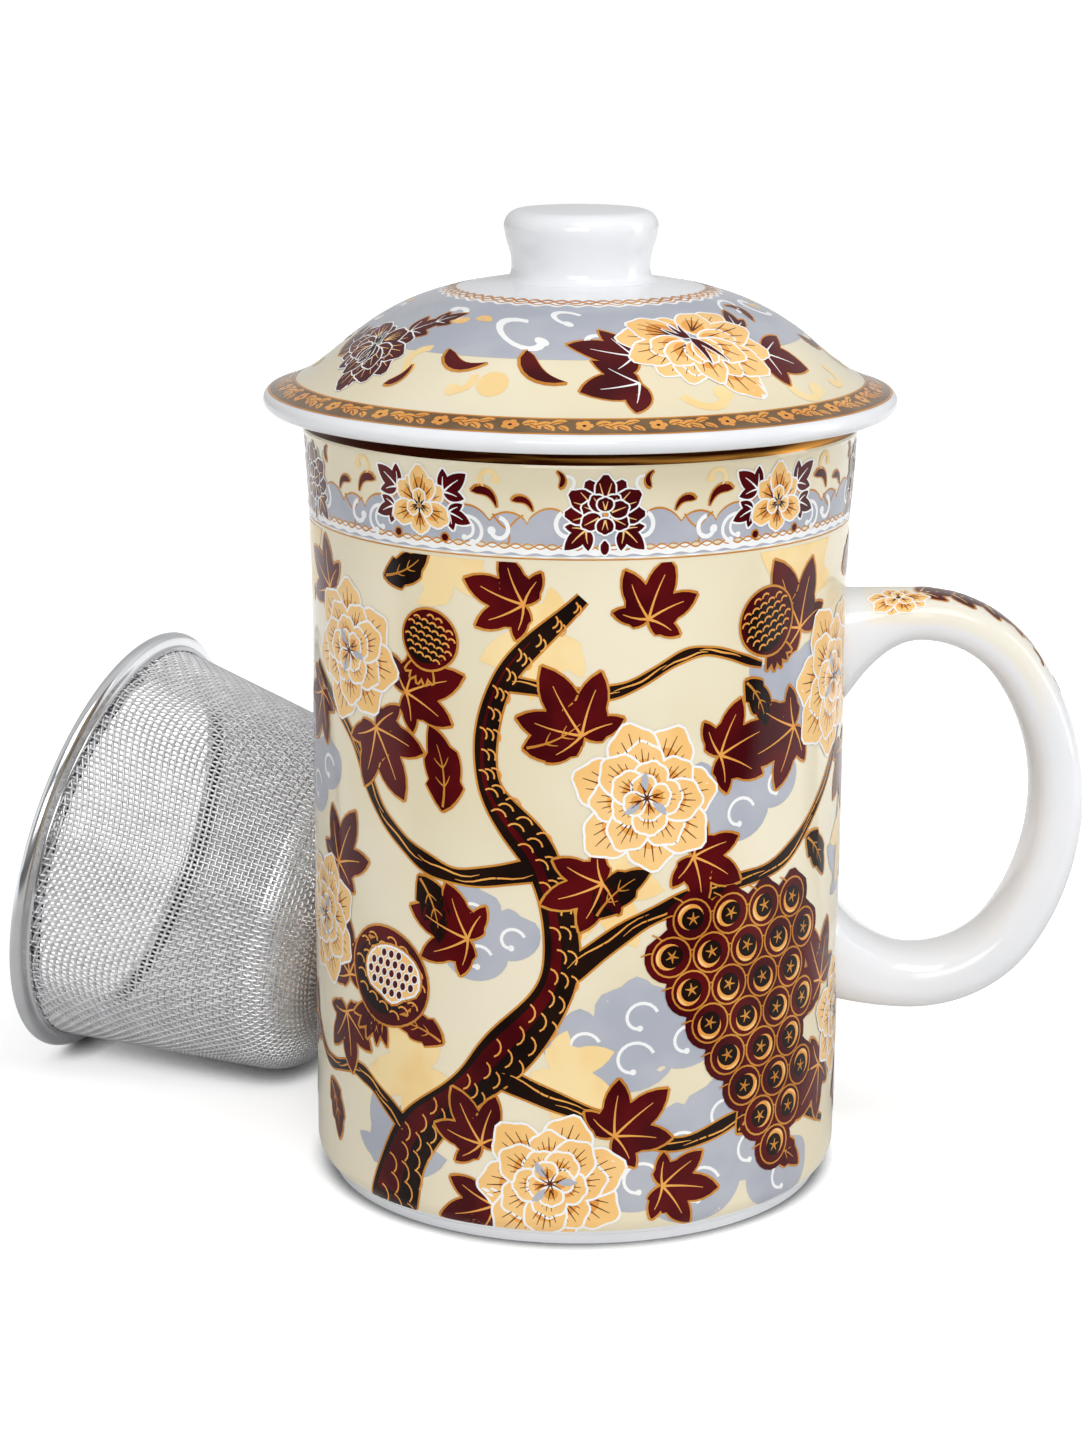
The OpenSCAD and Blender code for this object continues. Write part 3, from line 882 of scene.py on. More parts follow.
# %% Basket floor
floor_cloth = bmesh.new()
floor_cloth_r = heel_x + 0.4
floor_cloth_z = heel_z - (basket_heel - cloth_r)
half_count = int(floor_cloth_r / ring_pitch)
for across in range(-half_count, half_count + 1):
    offset = across * ring_pitch
    reach = int(math.sqrt(floor_cloth_r ** 2 - offset ** 2) / ring_pitch)
    if reach < 2:
        continue
    spots = range(-reach, reach + 1)
    lifts = [wire_r if (across + spot) % 2 else -wire_r for spot in spots]
    rows = [Vector((spot * ring_pitch, offset, floor_cloth_z + lift)) for spot, lift in zip(spots, lifts)]
    columns = [Vector((offset, spot * ring_pitch, floor_cloth_z - lift)) for spot, lift in zip(spots, lifts)]
    for centres in (rows, columns):
        add_wire(floor_cloth, centres, [Vector((0, 0, 1))] * len(centres))
woven("basket_floor_wires", floor_cloth)

# %% [markdown]
# ## Printing
# The decoration is a ceramic transfer: flat colours under the glaze, one ink over another. A
# picture stretched over the wall would be one blurred skin, so each stroke and petal is its own
# patch here: a grid laid on the surface a few microns above the one before. A pen draws in mm
# from its own place, turned, sized or mirrored, and its points are complex numbers, because
# turning and mirroring are then one product.

# %% Print
transfer_h = 0.03
layer_h = 0.006


def petal_square(a, b):
    """Where a square's point lands in a round patch: its share of the radius, and its turn."""
    if a == 0 and b == 0:
        return 0.0, 0.0
    if abs(a) >= abs(b):
        return abs(a), b / a * math.pi / 4 + (0 if a > 0 else math.pi)
    return abs(b), math.copysign(math.pi / 2, b) - a / b * math.pi / 4


class Print:
    """All that is printed on one surface, one layer of patches for each ink."""

    def __init__(self, name, skin, reach, lowest=-math.inf, highest=math.inf, curved_below=-math.inf):
        self.name = name
        self.skin = skin
        self.reach = reach
        self.lowest, self.highest = lowest, highest
        self.curved_below = curved_below
        self.layers = {}

    def patch(self, ink, cells, spot, level, mirrored=False):
        """A grid laid on the surface by spot(s, t), with s from 0 to 1 and t from -1 to 1.

        Where the surface curves tightly the grid is finer, so that no layer cuts through another.
        """
        if ink not in self.layers:
            self.layers[ink] = bmesh.new()
        layer = self.layers[ink]
        along, across = cells
        if min(spot(s, t)[1] for s in (0, 0.5, 1) for t in (-1, 0, 1)) < self.curved_below:
            along, across = 3 * along, 3 * across
        made = bmesh.ops.create_grid(layer, x_segments=along, y_segments=across, size=1.0)["verts"]
        beyond = set()
        for vert in made:
            angle, run = spot((vert.co.x + 1) / 2, vert.co.y)
            if not self.lowest < run < self.highest:
                beyond.add(vert)
                run = min(max(run, self.lowest), self.highest)
            vert.co = self.skin(angle, run, transfer_h + layer_h * level) * mm
        if beyond:
            faces = {face for vert in beyond for face in vert.link_faces}
            lost = [face for face in faces if beyond.issuperset(face.verts)]
            bmesh.ops.delete(layer, geom=lost, context="FACES")
            made = [vert for vert in made if vert.is_valid]
        if mirrored:
            bmesh.ops.reverse_faces(layer, faces=list({face for vert in made for face in vert.link_faces}))

    def ring(self, ink, low, high, level, cells=(360, 1)):
        """A closed band between two heights, each given round the turn."""
        def spot(s, t):
            angle = s * math.tau
            return angle, low(angle) + (high(angle) - low(angle)) * (t + 1) / 2
        self.patch(ink, cells, spot, level)

    def finish(self, body):
        for ink, layer in sorted(self.layers.items()):
            bmesh.ops.remove_doubles(layer, verts=layer.verts, dist=0.0002 * mm)
            shown(f"{self.name}_{ink}", layer, inks[ink], body, all_smooth)


# %% Pen
class Pen:
    """Draws on a print, in mm from a place at an angle from the front and a run up the surface."""

    def __init__(self, sheet, angle, run, origin=0j, heading=1 + 0j, flip=False, level=0):
        self.sheet, self.angle, self.run = sheet, angle, run
        self.origin, self.heading, self.flip, self.level = origin, heading, flip, level

    def reach(self, point):
        return self.origin + self.heading * (-point.conjugate() if self.flip else point)

    def at(self, x, y, turn=0.0, size=1.0, flip=False, level=0):
        """A pen at another spot of this one, turned by degrees."""
        spin = cmath.rect(size, math.radians(-turn if self.flip else turn))
        origin = self.reach(complex(x, y))
        return Pen(self.sheet, self.angle, self.run, origin, self.heading * spin, self.flip != flip,
                   self.level + level)

    def on_sheet(self, point):
        spot = self.reach(point)
        run = self.run + spot.imag
        return self.angle + spot.real / self.sheet.reach(run), run

    def blob(self, ink, radius, level, cells):
        """A round patch; radius(turn) is its outline."""
        def spot(s, t):
            share, turn = petal_square(2 * s - 1, t)
            return self.on_sheet(cmath.rect(share * radius(turn), turn))
        self.sheet.patch(ink, (cells, cells), spot, self.level + level, self.flip)

    def band(self, ink, spine, width, level=0, cells=8, across=1):
        """A patch along spine(t) with half width width(t)."""
        def spot(s, t):
            ahead = spine(s + 0.01) - spine(s - 0.01)
            return self.on_sheet(spine(s) + 1j * ahead / abs(ahead) * width(s) * t)
        self.sheet.patch(ink, (cells, across), spot, self.level + level, self.flip)


# %% [markdown]
# ## Strokes and petals
# A traditional print has few strokes, used again and again: a dot, a line that swells, a comma,
# a scroll with a ball at its end, a saw-edged leaf and a petal with a ruffled tip. Light lines
# round leaves and petals are the same shape a little larger, in another ink, underneath.

# %% Paths of strokes
def bow(length, bend=0.0):
    """A stroke along +X that bows to its left by bend."""
    return lambda t: complex(length * t, 4 * bend * t * (1 - t))


def through(*points):
    """A smooth path through points, each (x, y)."""
    spots = [complex(*point) for point in points]
    spots = [2 * spots[0] - spots[1]] + spots + [2 * spots[-1] - spots[-2]]

    def path(t):
        place = t * (len(spots) - 3)
        number = min(max(int(place), 0), len(spots) - 4)
        f = place - number
        a, b, c, d = spots[number:number + 4]
        straight = b + f * (c - a) / 2
        return straight + f * f * (a - 2.5 * b + 2 * c - d / 2) + f ** 3 * (1.5 * (b - c) + (d - a) / 2)
    return path


def curl(radius, start, sweep, tighten=0.5):
    """A spiral that starts at the pen, from an angle, through a sweep, in degrees."""
    first = cmath.rect(radius, math.radians(start))
    return lambda t: first * (1 - tighten * t) * cmath.rect(1, math.radians(sweep) * t) - first


# %% Widths and outlines
def swell(half, early=1.0):
    """Half width of a stroke that is thin at both ends."""
    return lambda t: half * math.sin(math.pi * min(max(t, 0.0), 1.0) ** early) ** 0.8 + 0.03


def even(value):
    return lambda t: value


def oval(wide, long, ruffles=0, depth=0.0):
    """Outline of an oval, ruffled where it points to +Y."""
    def radius(turn):
        plain = 1 / math.hypot(math.cos(turn) / wide, math.sin(turn) / long)
        wave = math.cos(ruffles * (turn - math.pi / 2)) * max(0.0, math.sin(turn)) if ruffles else 0.0
        return plain * (1 + depth * wave)
    return radius


def taper(half):
    return lambda t: half * (1 - 0.75 * t)


def grown(outline, by):
    return lambda value: outline(value) + by


# %% Dots, commas and scrolls
cell_length = 1.3
# Lines round blades: how far back they start, and their extra length and half width
leaf_line = (0.28, 0.56, 0.28)
hand_line = (0.3, 0.55, 0.25)
vine_line = (0.3, 0.6, 0.28)
style_line = (0.1, 0.3, 0.16)


def stroke_cells(length):
    """Cells along a stroke, short enough for it to follow the wall above the ink under it."""
    return max(3, math.ceil(length / cell_length))


def dot(pen, ink, radius, level=0):
    pen.blob(ink, even(radius), level, 3 if radius < 1 else 4)


def comma(pen, length, level=0, bend=0.28):
    """A hooked drop with a fat head and a light edge."""
    path, width = bow(length, length * bend), swell(length * 0.13, 0.62)
    pen.at(-0.25, -0.05, 0, 1.08, level=level).band("ochre", path, grown(width, 0.2))
    pen.band("maroon", path, width, level + 1)


def edged(pen, ink, edge, length, width, edging, level, cells, bend=0.0):
    """A blade along the pen's +X, with a line round it."""
    back, extra, rim = edging
    if edge:
        pen.at(-back, 0).band(edge, bow(length + extra, bend), grown(width, rim), level, *cells)
    pen.band(ink, bow(length, bend), width, level + 1, *cells)


def scroll(pen, ink, radius, start, sweep, half, level=0):
    """A line that curls in and ends in a ball."""
    path = curl(radius, start, sweep)
    pen.band(ink, path, even(half), level, 14)
    end = path(1.0)
    dot(pen.at(end.real, end.imag), ink, half * 1.9, level)


# %% Leaves
def saw_edge(wide, teeth):
    """Half width of a leaf with forward-pointing teeth."""
    def width(t):
        t = min(max(t, 0.0), 1.0)
        tooth = (t * teeth) % 1.0
        return wide * math.sin(math.pi * t ** 0.8) ** 0.85 * (0.80 + 0.30 * tooth) + 0.03
    return width


def saw_leaf(pen, length, ink, bend, level):
    """A saw-edged leaf along the pen's +X, with a line round it and a forked vein."""
    path, wide = bow(length, bend), length * 0.25
    edged(pen, ink, "ochre", length, saw_edge(wide, 3), leaf_line, level, (14, 4), bend)
    pen.band("ochre", lambda t: path(0.04 + 0.74 * t), taper(0.20), level + 2, stroke_cells(length * 0.74))
    for share, side in ((0.28, 1), (0.28, -1), (0.5, 1), (0.5, -1)):
        root = path(share)
        twig = pen.at(root.real, root.imag, 38 * side)
        twig.band("ochre", bow(wide * 0.62, 0.1 * side), lambda t: 0.13 * (1 - 0.7 * t), level + 2, 3)


def leaf_hand(pen, length, edge="ochre", vein="white", level=0):
    """Three small leaves from one point, as on a peony."""
    cells = (8, 2 * math.ceil(length / 5))
    for turn, share in ((52, 0.72), (-52, 0.72), (0, 1.0)):
        blade, reach = pen.at(0, 0, turn), length * share
        edged(blade, "maroon", edge, reach, swell(reach * 0.27, 0.8), hand_line, level, cells)
        blade.band(vein, bow(reach * 0.66, 0.1), taper(0.17), level + 2, stroke_cells(reach * 0.66))


# %% Petals
def petal(pen, wide, long, ink="apricot", edge="white", rim=0.3, streaks=0, level=0, streak="umber",
          shade="amber"):
    """A petal that points along the pen's +Y, with its light edge, darker base and streaks."""
    outline = oval(wide, long, 6, 0.08)
    cells = 7 if long > 2.5 else 5
    pen.blob(edge, grown(outline, rim), level, cells)
    pen.blob(ink, outline, level + 1, cells)
    if shade and long > 1.2:
        pen.at(0, -long * 0.30).blob(shade, oval(wide * 0.66, long * 0.60), level + 2, 5)
    for number in range(streaks):
        lean = (number - (streaks - 1) / 2) * 64 / streaks
        line = bow(long * (1.56 - abs(lean) * 0.014))
        pen.at(0, -long * 0.80, 90 + lean).band(
            streak, line, taper(0.12 + 0.018 * long), level + 3, stroke_cells(long * 1.5))


def blossom(pen, petals, level, **look):
    """Petals given by direction in degrees, reach and half width; every second one lies on top."""
    for number, (turn, reach, wide) in sorted(enumerate(petals), key=lambda item: item[0] % 2):
        long = reach * 0.40
        out = cmath.rect(reach - long, math.radians(turn))
        petal(pen.at(out.real, out.imag, turn - 90), wide, long, level=level + 4 * (number % 2), **look)


# %% [markdown]
# ## Inks
# Each ink is a flat colour that drifts a little, as where a printing screen was fuller. It is
# as smooth as the glaze but mirrors less, so that the dark inks stay dark.

# %% Inks
ink_tones = {
    "maroon": ((92, 10, 14), (66, 4, 10)),
    "soot": ((34, 18, 11), (22, 11, 8)),
    "ochre": ((214, 148, 66), (196, 126, 48)),
    "apricot": ((252, 208, 140), (248, 198, 124)),
    "amber": ((240, 172, 88), (230, 154, 72)),
    "pale_apricot": ((252, 226, 170), (249, 215, 150)),
    "lilac_grey": ((186, 189, 198), (176, 180, 191)),
    "white": ((252, 252, 250), (246, 247, 248)),
    "umber": ((112, 52, 20), (84, 36, 12)),
    "bronze": ((132, 104, 72), (112, 84, 54)),
}


def printed(name, tones):
    finish = material(f"ink_{name}")
    full, thin = (colour(*tone) for tone in tones)
    return glaze(finish, drifting(finish, full, thin, 120.0), 0.15)


inks = {name: printed(name, tones) for name, tones in ink_tones.items()}
print("inks:", ", ".join(inks))

# %% [markdown]
# ## Where the print lies
# A skin turns an angle from the front and a run along the surface into a point. On the mug the
# run is the height. On the lid it is the length along the dome from the brim towards the knob.

# %% Skins
def mug_skin(angle, run, lift):
    reach = mug_radius(run) + lift
    return Vector((reach * math.sin(angle), -reach * math.cos(angle), run))


brim_arc = arc((edge_x, brim_z - edge_r), edge_r, 30, 84, 9)
lid_path = brim_arc + ogee
lid_runs = [0.0]
for before, after in zip(lid_path, lid_path[1:]):
    lid_runs.append(lid_runs[-1] + math.dist(before, after))


def lid_spot(run):
    """The ogee's point and its outward direction at a run from the brim."""
    number = min(max(bisect.bisect(lid_runs, run) - 1, 0), len(lid_path) - 2)
    before, after = lid_path[number], lid_path[number + 1]
    share = (run - lid_runs[number]) / (lid_runs[number + 1] - lid_runs[number])
    ahead = Vector((after[0] - before[0], after[1] - before[1]))
    out = Vector((ahead.y, -ahead.x)).normalized()
    return Vector(before) + ahead * share, out


def lid_skin(angle, run, lift):
    spot, out = lid_spot(run)
    spot = spot + out * lift
    return Vector((spot.x * math.sin(angle), -spot.x * math.cos(angle), spot.y))


def run_at(radius):
    """Run on the lid at a distance from its axis."""
    for number in range(len(lid_path) - 1):
        before, after = lid_path[number], lid_path[number + 1]
        if after[0] <= radius:
            share = (before[0] - radius) / (before[0] - after[0])
            return lid_runs[number] + share * (lid_runs[number + 1] - lid_runs[number])
    return lid_runs[-1]


wall_print_top = 98.8
mug_print = Print("mug_print", mug_skin, mug_radius)
wall_print = Print("wall_print", mug_skin, mug_radius, ground_low, wall_print_top, foot_h + heel_r + 1.0)
lid_print = Print("lid_print", lid_skin, lambda run: lid_spot(run)[0].x)
print("lid's run from brim to knob:", round(lid_runs[-1], 1), "mm")

# %% [markdown]
# ## Band under the lip
# Ten sprays stand in a row in a grey cloud band: apricot flowers with leaves and scrolls, and
# maroon peonies between them. Under the band runs a white ribbon between wavy gold lines. The
# front half has its sprays a little further apart, and the rest fill what is left of the turn.

# %% Band's outline
front_step = 38
front_places = [4.2 + front_step * k for k in range(-2, 3)]
back_turn = 360 - 4 * front_step
band_places = front_places + [front_places[-1] + back_turn * k / 6 for k in range(1, 6)]
half_back_step = 17.3
spray_z = 105.6
cloud_low, cloud_high = 101.3, 104.9
ribbon_low, ribbon_high = 99.6, 100.95
ripples = 75


def between_sprays(angle):
    """How far along from one spray to the next, 0 at each spray."""
    turn = (math.degrees(angle) - band_places[0]) % 360
    marks = [(place - band_places[0]) % 360 for place in band_places] + [360.0]
    number = bisect.bisect(marks, turn) - 1
    return (turn - marks[number]) / (marks[number + 1] - marks[number])


def cloud_top(angle):
    share = between_sprays(angle)
    return cloud_high + 1.7 * abs(math.sin(math.pi * 5 * share)) ** 0.6 + 0.9 * math.cos(math.tau * share)


def wave(height, depth, count, phase=0.0):
    return lambda angle: height + depth * math.sin(count * angle + phase)


# %% Sprays
def apricot_spray(pen):
    """Band flower: round petals above, two large ones below, leaves and scrolls on both sides."""
    for flip in (False, True):
        side = pen.at(0, 0, flip=flip)
        for x, y, *line in ((5.6, -2.0, 2.1, 150, -240, 0.24), (6.0, -1.6, 2.9, 140, -210, 0.28),
                            (13.0, -0.8, 1.9, 80, -250, 0.34)):
            scroll(side.at(x, y), "white", *line)
        scroll(side.at(10.6, 3.4), "pale_apricot", 1.8, 230, -230, 0.34)
        comma(side.at(8.8, 2.9, -30), 4.4)
        comma(side.at(15.0, 1.8, -26), 3.4)
        leaf_hand(side.at(4.2, 2.4, 38), 4.8, edge="white", level=2)
        leaf_hand(side.at(4.9, -0.6, -22), 3.8, edge="white", level=2)
        dot(side.at(4.2, -4.4), "ochre", 0.8, 3)
        dot(side.at(4.2, -4.4), "maroon", 0.55, 4)
    upper_petals = ((140, 4.9, 1.5), (90, 6.0, 1.6), (36, 4.8, 1.5), (62, 4.6, 1.3), (116, 4.6, 1.3))
    blossom(pen, upper_petals, 6, streaks=2)
    blossom(pen, ((203, 5.2, 1.8), (337, 5.2, 1.8), (270, 4.2, 1.6)), 14, streaks=3)
    blossom(pen, ((90, 2.4, 1.0), (200, 2.2, 1.0), (340, 2.2, 1.0)), 22, streaks=2, rim=0.24)
    for turn in range(0, 360, 45):
        pen.at(0, 0, turn).at(0.4, 0).band("soot", bow(0.9), taper(0.17), 30, 2)
    dot(pen, "ochre", 0.35, 31)


def maroon_peony(pen):
    """Band flower with a fan of dark petals, two low leaves and a drop."""
    look = {"ink": "maroon", "edge": "white", "streak": "apricot", "shade": None, "rim": 0.26}
    for flip in (False, True):
        side = pen.at(0, 0, flip=flip)
        scroll(side.at(6.0, 0.2), "white", 2.2, 60, -240, 0.32)
        scroll(side.at(5.0, 3.4), "white", 1.3, 250, -200, 0.22)
        comma(side.at(6.4, 3.8, 80), 2.4, 1)
        leaf_hand(side.at(2.6, -2.2, -44), 4.2, edge="white", vein="apricot", level=3)
    petal(pen.at(0, -4.8), 0.6, 1.0, level=3, **look)
    outer_petals = ((0, 5.6, 1.4), (32, 5.8, 1.5), (62, 5.4, 1.4), (90, 5.6, 1.4), (118, 5.4, 1.4),
                    (148, 5.8, 1.5), (180, 5.6, 1.4))
    inner_petals = ((-28, 3.6, 1.2), (20, 3.4, 1.2), (56, 3.2, 1.1), (124, 3.2, 1.1), (160, 3.4, 1.2),
                    (208, 3.6, 1.2))
    blossom(pen, outer_petals, 7, streaks=2, **look)
    blossom(pen, inner_petals, 15, streaks=1, **look)
    blossom(pen, ((270, 2.8, 1.2), (90, 2.4, 1.1)), 23, streaks=2, **look)
    dot(pen, "amber", 0.3, 31)


# %% Band round the mug
mug_print.ring("lilac_grey", even(cloud_low), cloud_top, 0, (720, 3))
mug_print.ring("ochre", grown(cloud_top, -0.2), grown(cloud_top, 0.08), 1, (720, 1))
mug_print.ring("white", wave(ribbon_low, 0.12, 60), wave(ribbon_high, 0.28, ripples), 1, (720, 1))
mug_print.ring("lilac_grey", even(99.75), wave(100.0, 0.14, ripples, 1.2), 2, (720, 1))
for level, low, phase in ((3, 100.92, 0.0), (4, 100.98, math.pi)):
    lower, upper = (wave(height, 0.34, ripples, phase) for height in (low, 101.14))
    mug_print.ring("ochre", lower, upper, level, (720, 1))
mug_print.ring("ochre", even(99.26), even(99.44), 3)
for number, place in enumerate(band_places):
    half_step = front_step / 2 if place < front_places[-1] else half_back_step
    valley = Pen(mug_print, math.radians(place + half_step), 103.2, level=4)
    for turn, length in ((45, 3.0), (135, 3.0), (270, 1.9)):
        valley.at(0, 0, turn).band("ochre", bow(length, 0.2), even(0.13), 0, 5)
    spray, size = (apricot_spray, 0.92) if number % 2 else (maroon_peony, 0.96)
    spray(Pen(mug_print, math.radians(place), spray_z, heading=size, level=5))
print("band of", len(band_places), "sprays")

# %% [markdown]
# ## Lid print
# The dome carries two large apricot peonies and two maroon ones between them, on cream below
# and grey above. A gold lace closes the print at the knob, and a bronze ribbon with a chain of
# small gold flowers and leaves closes it at the brim.

# %% Peonies of the lid
# Petals as direction in degrees, reach and half width
peony_petals = (
    ((178, 10.2, 2.7), (200, 10.6, 2.4), (222, 9.6, 2.5), (246, 9.0, 2.4), (298, 13.4, 3.2), (322, 12.4, 2.8),
     (340, 12.8, 2.6), (2, 11.0, 2.6), (28, 9.4, 2.9), (52, 6.8, 2.6), (128, 5.8, 2.6), (152, 8.2, 2.8)),
    ((200, 6.8, 2.1), (226, 6.6, 2.0), (250, 7.2, 2.1), (276, 8.6, 2.2), (302, 8.8, 2.2), (326, 8.4, 2.1),
     (352, 7.2, 2.0)),
    ((262, 4.8, 1.5), (290, 5.2, 1.6), (316, 4.8, 1.5)))


def on_lid(degrees, radius, **more):
    return Pen(lid_print, math.radians(degrees), run_at(radius), **more)


def lid_ring(ink, outer, inner, level, swing=0.0, count=0, phase=0.0, cells=(360, 1)):
    low, high = run_at(outer), run_at(inner)
    lid_print.ring(ink, wave(low, swing, count, phase), wave(high, swing, count, phase), level, cells)


def great_peony(pen, ink, edge, streak, core, shade):
    """A full-blown flower, with two long styles and a fan of short ones."""
    look = {"ink": ink, "edge": edge, "streak": streak, "shade": shade, "rim": 0.32}
    for number, petals in enumerate(peony_petals):
        blossom(pen, petals, 7 * number, streaks=4 - number, **look)
    styles = ((-80, 5.4, 0.42), (-52, 6.2, 0.38), (96, 3.0, 0.26), (120, 3.6, 0.3), (144, 3.8, 0.3))
    for turn, length, half in styles:
        edged(pen.at(0, 0, turn), core, edge, length, swell(half, 0.6), style_line, 21, (6, 1), 0.3)


# %% Lid print
# Spots as place, turn and size; scrolls as place, radius, start, sweep and half width
peony_leaves = ((-9.6, -3.0, 164, 8.4), (-11.0, -8.0, 190, 8.8), (9.8, 1.2, 78, 4.6), (11.6, -4.4, -28, 8.8))
peony_scrolls = ((-20.6, 4.6, 4.2, 60, 270, 0.5), (-12.4, 6.6, 2.6, 30, 210, 0.38),
                 (-12.6, 1.4, 2.3, 80, 230, 0.34), (10.8, 5.0, 2.8, 200, -260, 0.3))
pale_hooks = ((-6.0, -10.6, 4.2, 190, 150, 0.75), (12.6, -10.4, 3.8, 170, 150, 0.75))
lid_drops = ((-35.6, 31.2, -16, 7.2, -0.26), (-14.4, 30.6, -42, 8.6, -0.2), (-46.8, 37.2, 62, 4.6, -0.2),
             (78, 31.4, -16, 7.0, -0.26), (97, 30.6, -44, 7.6, -0.19))
pale_scrolls = ((-25, 34.6, 30, -110), (-41, 31.4, 80, 150), (88, 34.6, 120, 190), (70, 36, 40, -150))
white_scrolls = ((-50, 27.0, 250, 230), (82, 27.0, 300, -240), (97, 25.5, 60, 250))
lid_ring("lilac_grey", 32.0, 19.9, 0, cells=(360, 10))
lid_ring("white", 20.3, 18.8, 1, 0.3, 44)
for number, phase in enumerate((0.0, math.pi)):
    lid_ring("ochre", 18.85, 18.4, 2 + number, 0.62, 30, phase)
lid_ring("ochre", 19.75, 19.5, 2, 0.3, 44)
lid_ring("bronze", 44.6, 41.0, 0, cells=(360, 4))
lid_ring("ochre", 41.15, 40.9, 1)
lid_ring("ochre", 44.95, 44.4, 1)
for half_turn in (0, 180):
    flower = on_lid(half_turn + 30, 29.0, level=9)
    great_peony(flower, "apricot", "white", "umber", "maroon", "amber")
    for x, y, turn, length in peony_leaves:
        leaf_hand(flower.at(x, y, turn, level=-6), length)
    for x, y, *line in peony_scrolls:
        scroll(flower.at(x, y, level=-6), "white", *line)
    comma(flower.at(15.0, 2.0, -62, flip=True, level=-6), 5.4)
    for x, y, *line in pale_hooks:
        scroll(flower.at(x, y, level=-8), "pale_apricot", *line)
    peony = on_lid(half_turn - 62.5, 32.2, level=9).at(0, 0, -10, 0.72)
    great_peony(peony, "maroon", "white", "apricot", "soot", "maroon")
    for x, y, turn, length in ((4.6, 6.0, 60, 7.4), (7.0, 10.4, 60, 5.6), (-8.8, -3.0, 186, 7.4)):
        leaf_hand(peony.at(x, y, turn, level=-6), length)
    for spot, radius, turn, length, bend in lid_drops:
        comma(on_lid(half_turn + spot, radius, level=3).at(0, 0, turn), length, bend=bend)
    dot(on_lid(half_turn - 20, 35.8, level=1), "pale_apricot", 2.3)
    for ink, half, scrolls in (("pale_apricot", 0.6, pale_scrolls), ("white", 0.42, white_scrolls)):
        for spot, radius, start, sweep in scrolls:
            scroll(on_lid(half_turn + spot, radius, level=1), ink, 3.0, start, sweep, half)
    for spot, lean in ((-38, 200), (-36, -10), (84, 160), (88, 10)):
        flake = on_lid(half_turn + spot, 25.0, level=1).at(0, 0, lean)
        flake.band("apricot", bow(2.9, 0.5), swell(0.75, 0.7), 0, 6)
print("lid with 4 peonies and", 2 * len(lid_drops), "drops")

# %% Chain at the brim
chain_count = 27
for number in range(chain_count):
    link = on_lid(360 * number / chain_count, 42.55, level=2)
    for turn in range(0, 360, 72):
        petal_spot = cmath.rect(0.72, math.radians(turn))
        dot(link.at(petal_spot.real, petal_spot.imag), "amber", 0.56)
    dot(link, "soot", 0.28, 1)
    for step in range(6):
        side = link.at(1.6 + 0.95 * step, 0.3 * math.sin(step * 2.0), 30 * (-1) ** step - 8)
        side.band("amber", bow(2.2, 0.25), swell(0.62 - 0.03 * step, 0.8), step % 2, 6)
        side.band("umber", bow(1.7, 0.15), even(0.07), 2, 3)
print("lid chain of", chain_count, "links")

# %% [markdown]
# ## Orchard round the mug
# The wall carries a generic orchard in the band's colours: an old trunk with scaled bark, a
# bunch of berries, pomegranates, camellias and vine leaves, and pale shapes behind them. It is
# drawn once, about half a turn wide, and printed twice, in front and at the back.

# %% Pomegranate
def scales(pen, reach, size, level):
    """Rows of small arcs inside a circle, each row half a scale over."""
    rows = int(2 * reach / (size * 0.8))
    for row in range(rows):
        y = reach - size * 0.8 * (row + 0.5)
        count = int(reach / size) + 1
        for column in range(-count, count + 1):
            x = (column + (row % 2) / 2) * size * 1.15
            if math.hypot(x, y) < reach - size * 0.4:
                pen.at(x - size * 0.47, y).band("amber", curl(size * 0.5, 200, 140, 0), even(0.14), level, 5)


def pomegranate(pen, reach, opened, level):
    """A fruit with its crown upwards and a skin of scales; opened, it shows its seeds."""
    for turn in (-44, 44, -22, 22, 0):
        tip = pen.at(0, reach * 0.72, 90 + turn)
        edged(tip, "maroon", "ochre", reach * 0.78, swell(reach * 0.14, 0.8), vine_line, level, (6, 1))
    body = oval(reach, reach * 0.94, 3, 0.03)
    pen.blob("ochre", grown(body, 0.34), level + 2, 8)
    pen.blob("maroon", body, level + 3, 8)
    pen.at(reach * 0.12, reach * 0.1).blob("soot", oval(reach * 0.74, reach * 0.72), level + 4, 7)
    scales(pen, reach * 0.93, reach * 0.27, level + 5)
    if opened:
        seeds(pen.at(-reach * 0.08, -reach * 0.12, 24), reach, level + 6)


def seeds(pen, reach, level):
    """The torn skin of an opened fruit, with seeds in rows inside it."""
    gap = oval(reach * 0.66, reach * 0.5, 5, 0.1)
    pen.blob("ochre", grown(gap, 0.7), level, 6)
    pen.blob("white", grown(gap, 0.36), level + 1, 6)
    pen.blob("apricot", gap, level + 2, 6)
    for row in range(-2, 3):
        for column in range(-3, 4):
            x, y = (column + row % 2 / 2) * reach * 0.19, row * reach * 0.19
            if math.hypot(x / 0.62, y / 0.46) < reach * 0.95:
                seed = pen.at(x, y, 70)
                seed.blob("white", oval(reach * 0.105, reach * 0.085), level + 3, 3)
                seed.blob("maroon", oval(reach * 0.08, reach * 0.06), level + 4, 3)


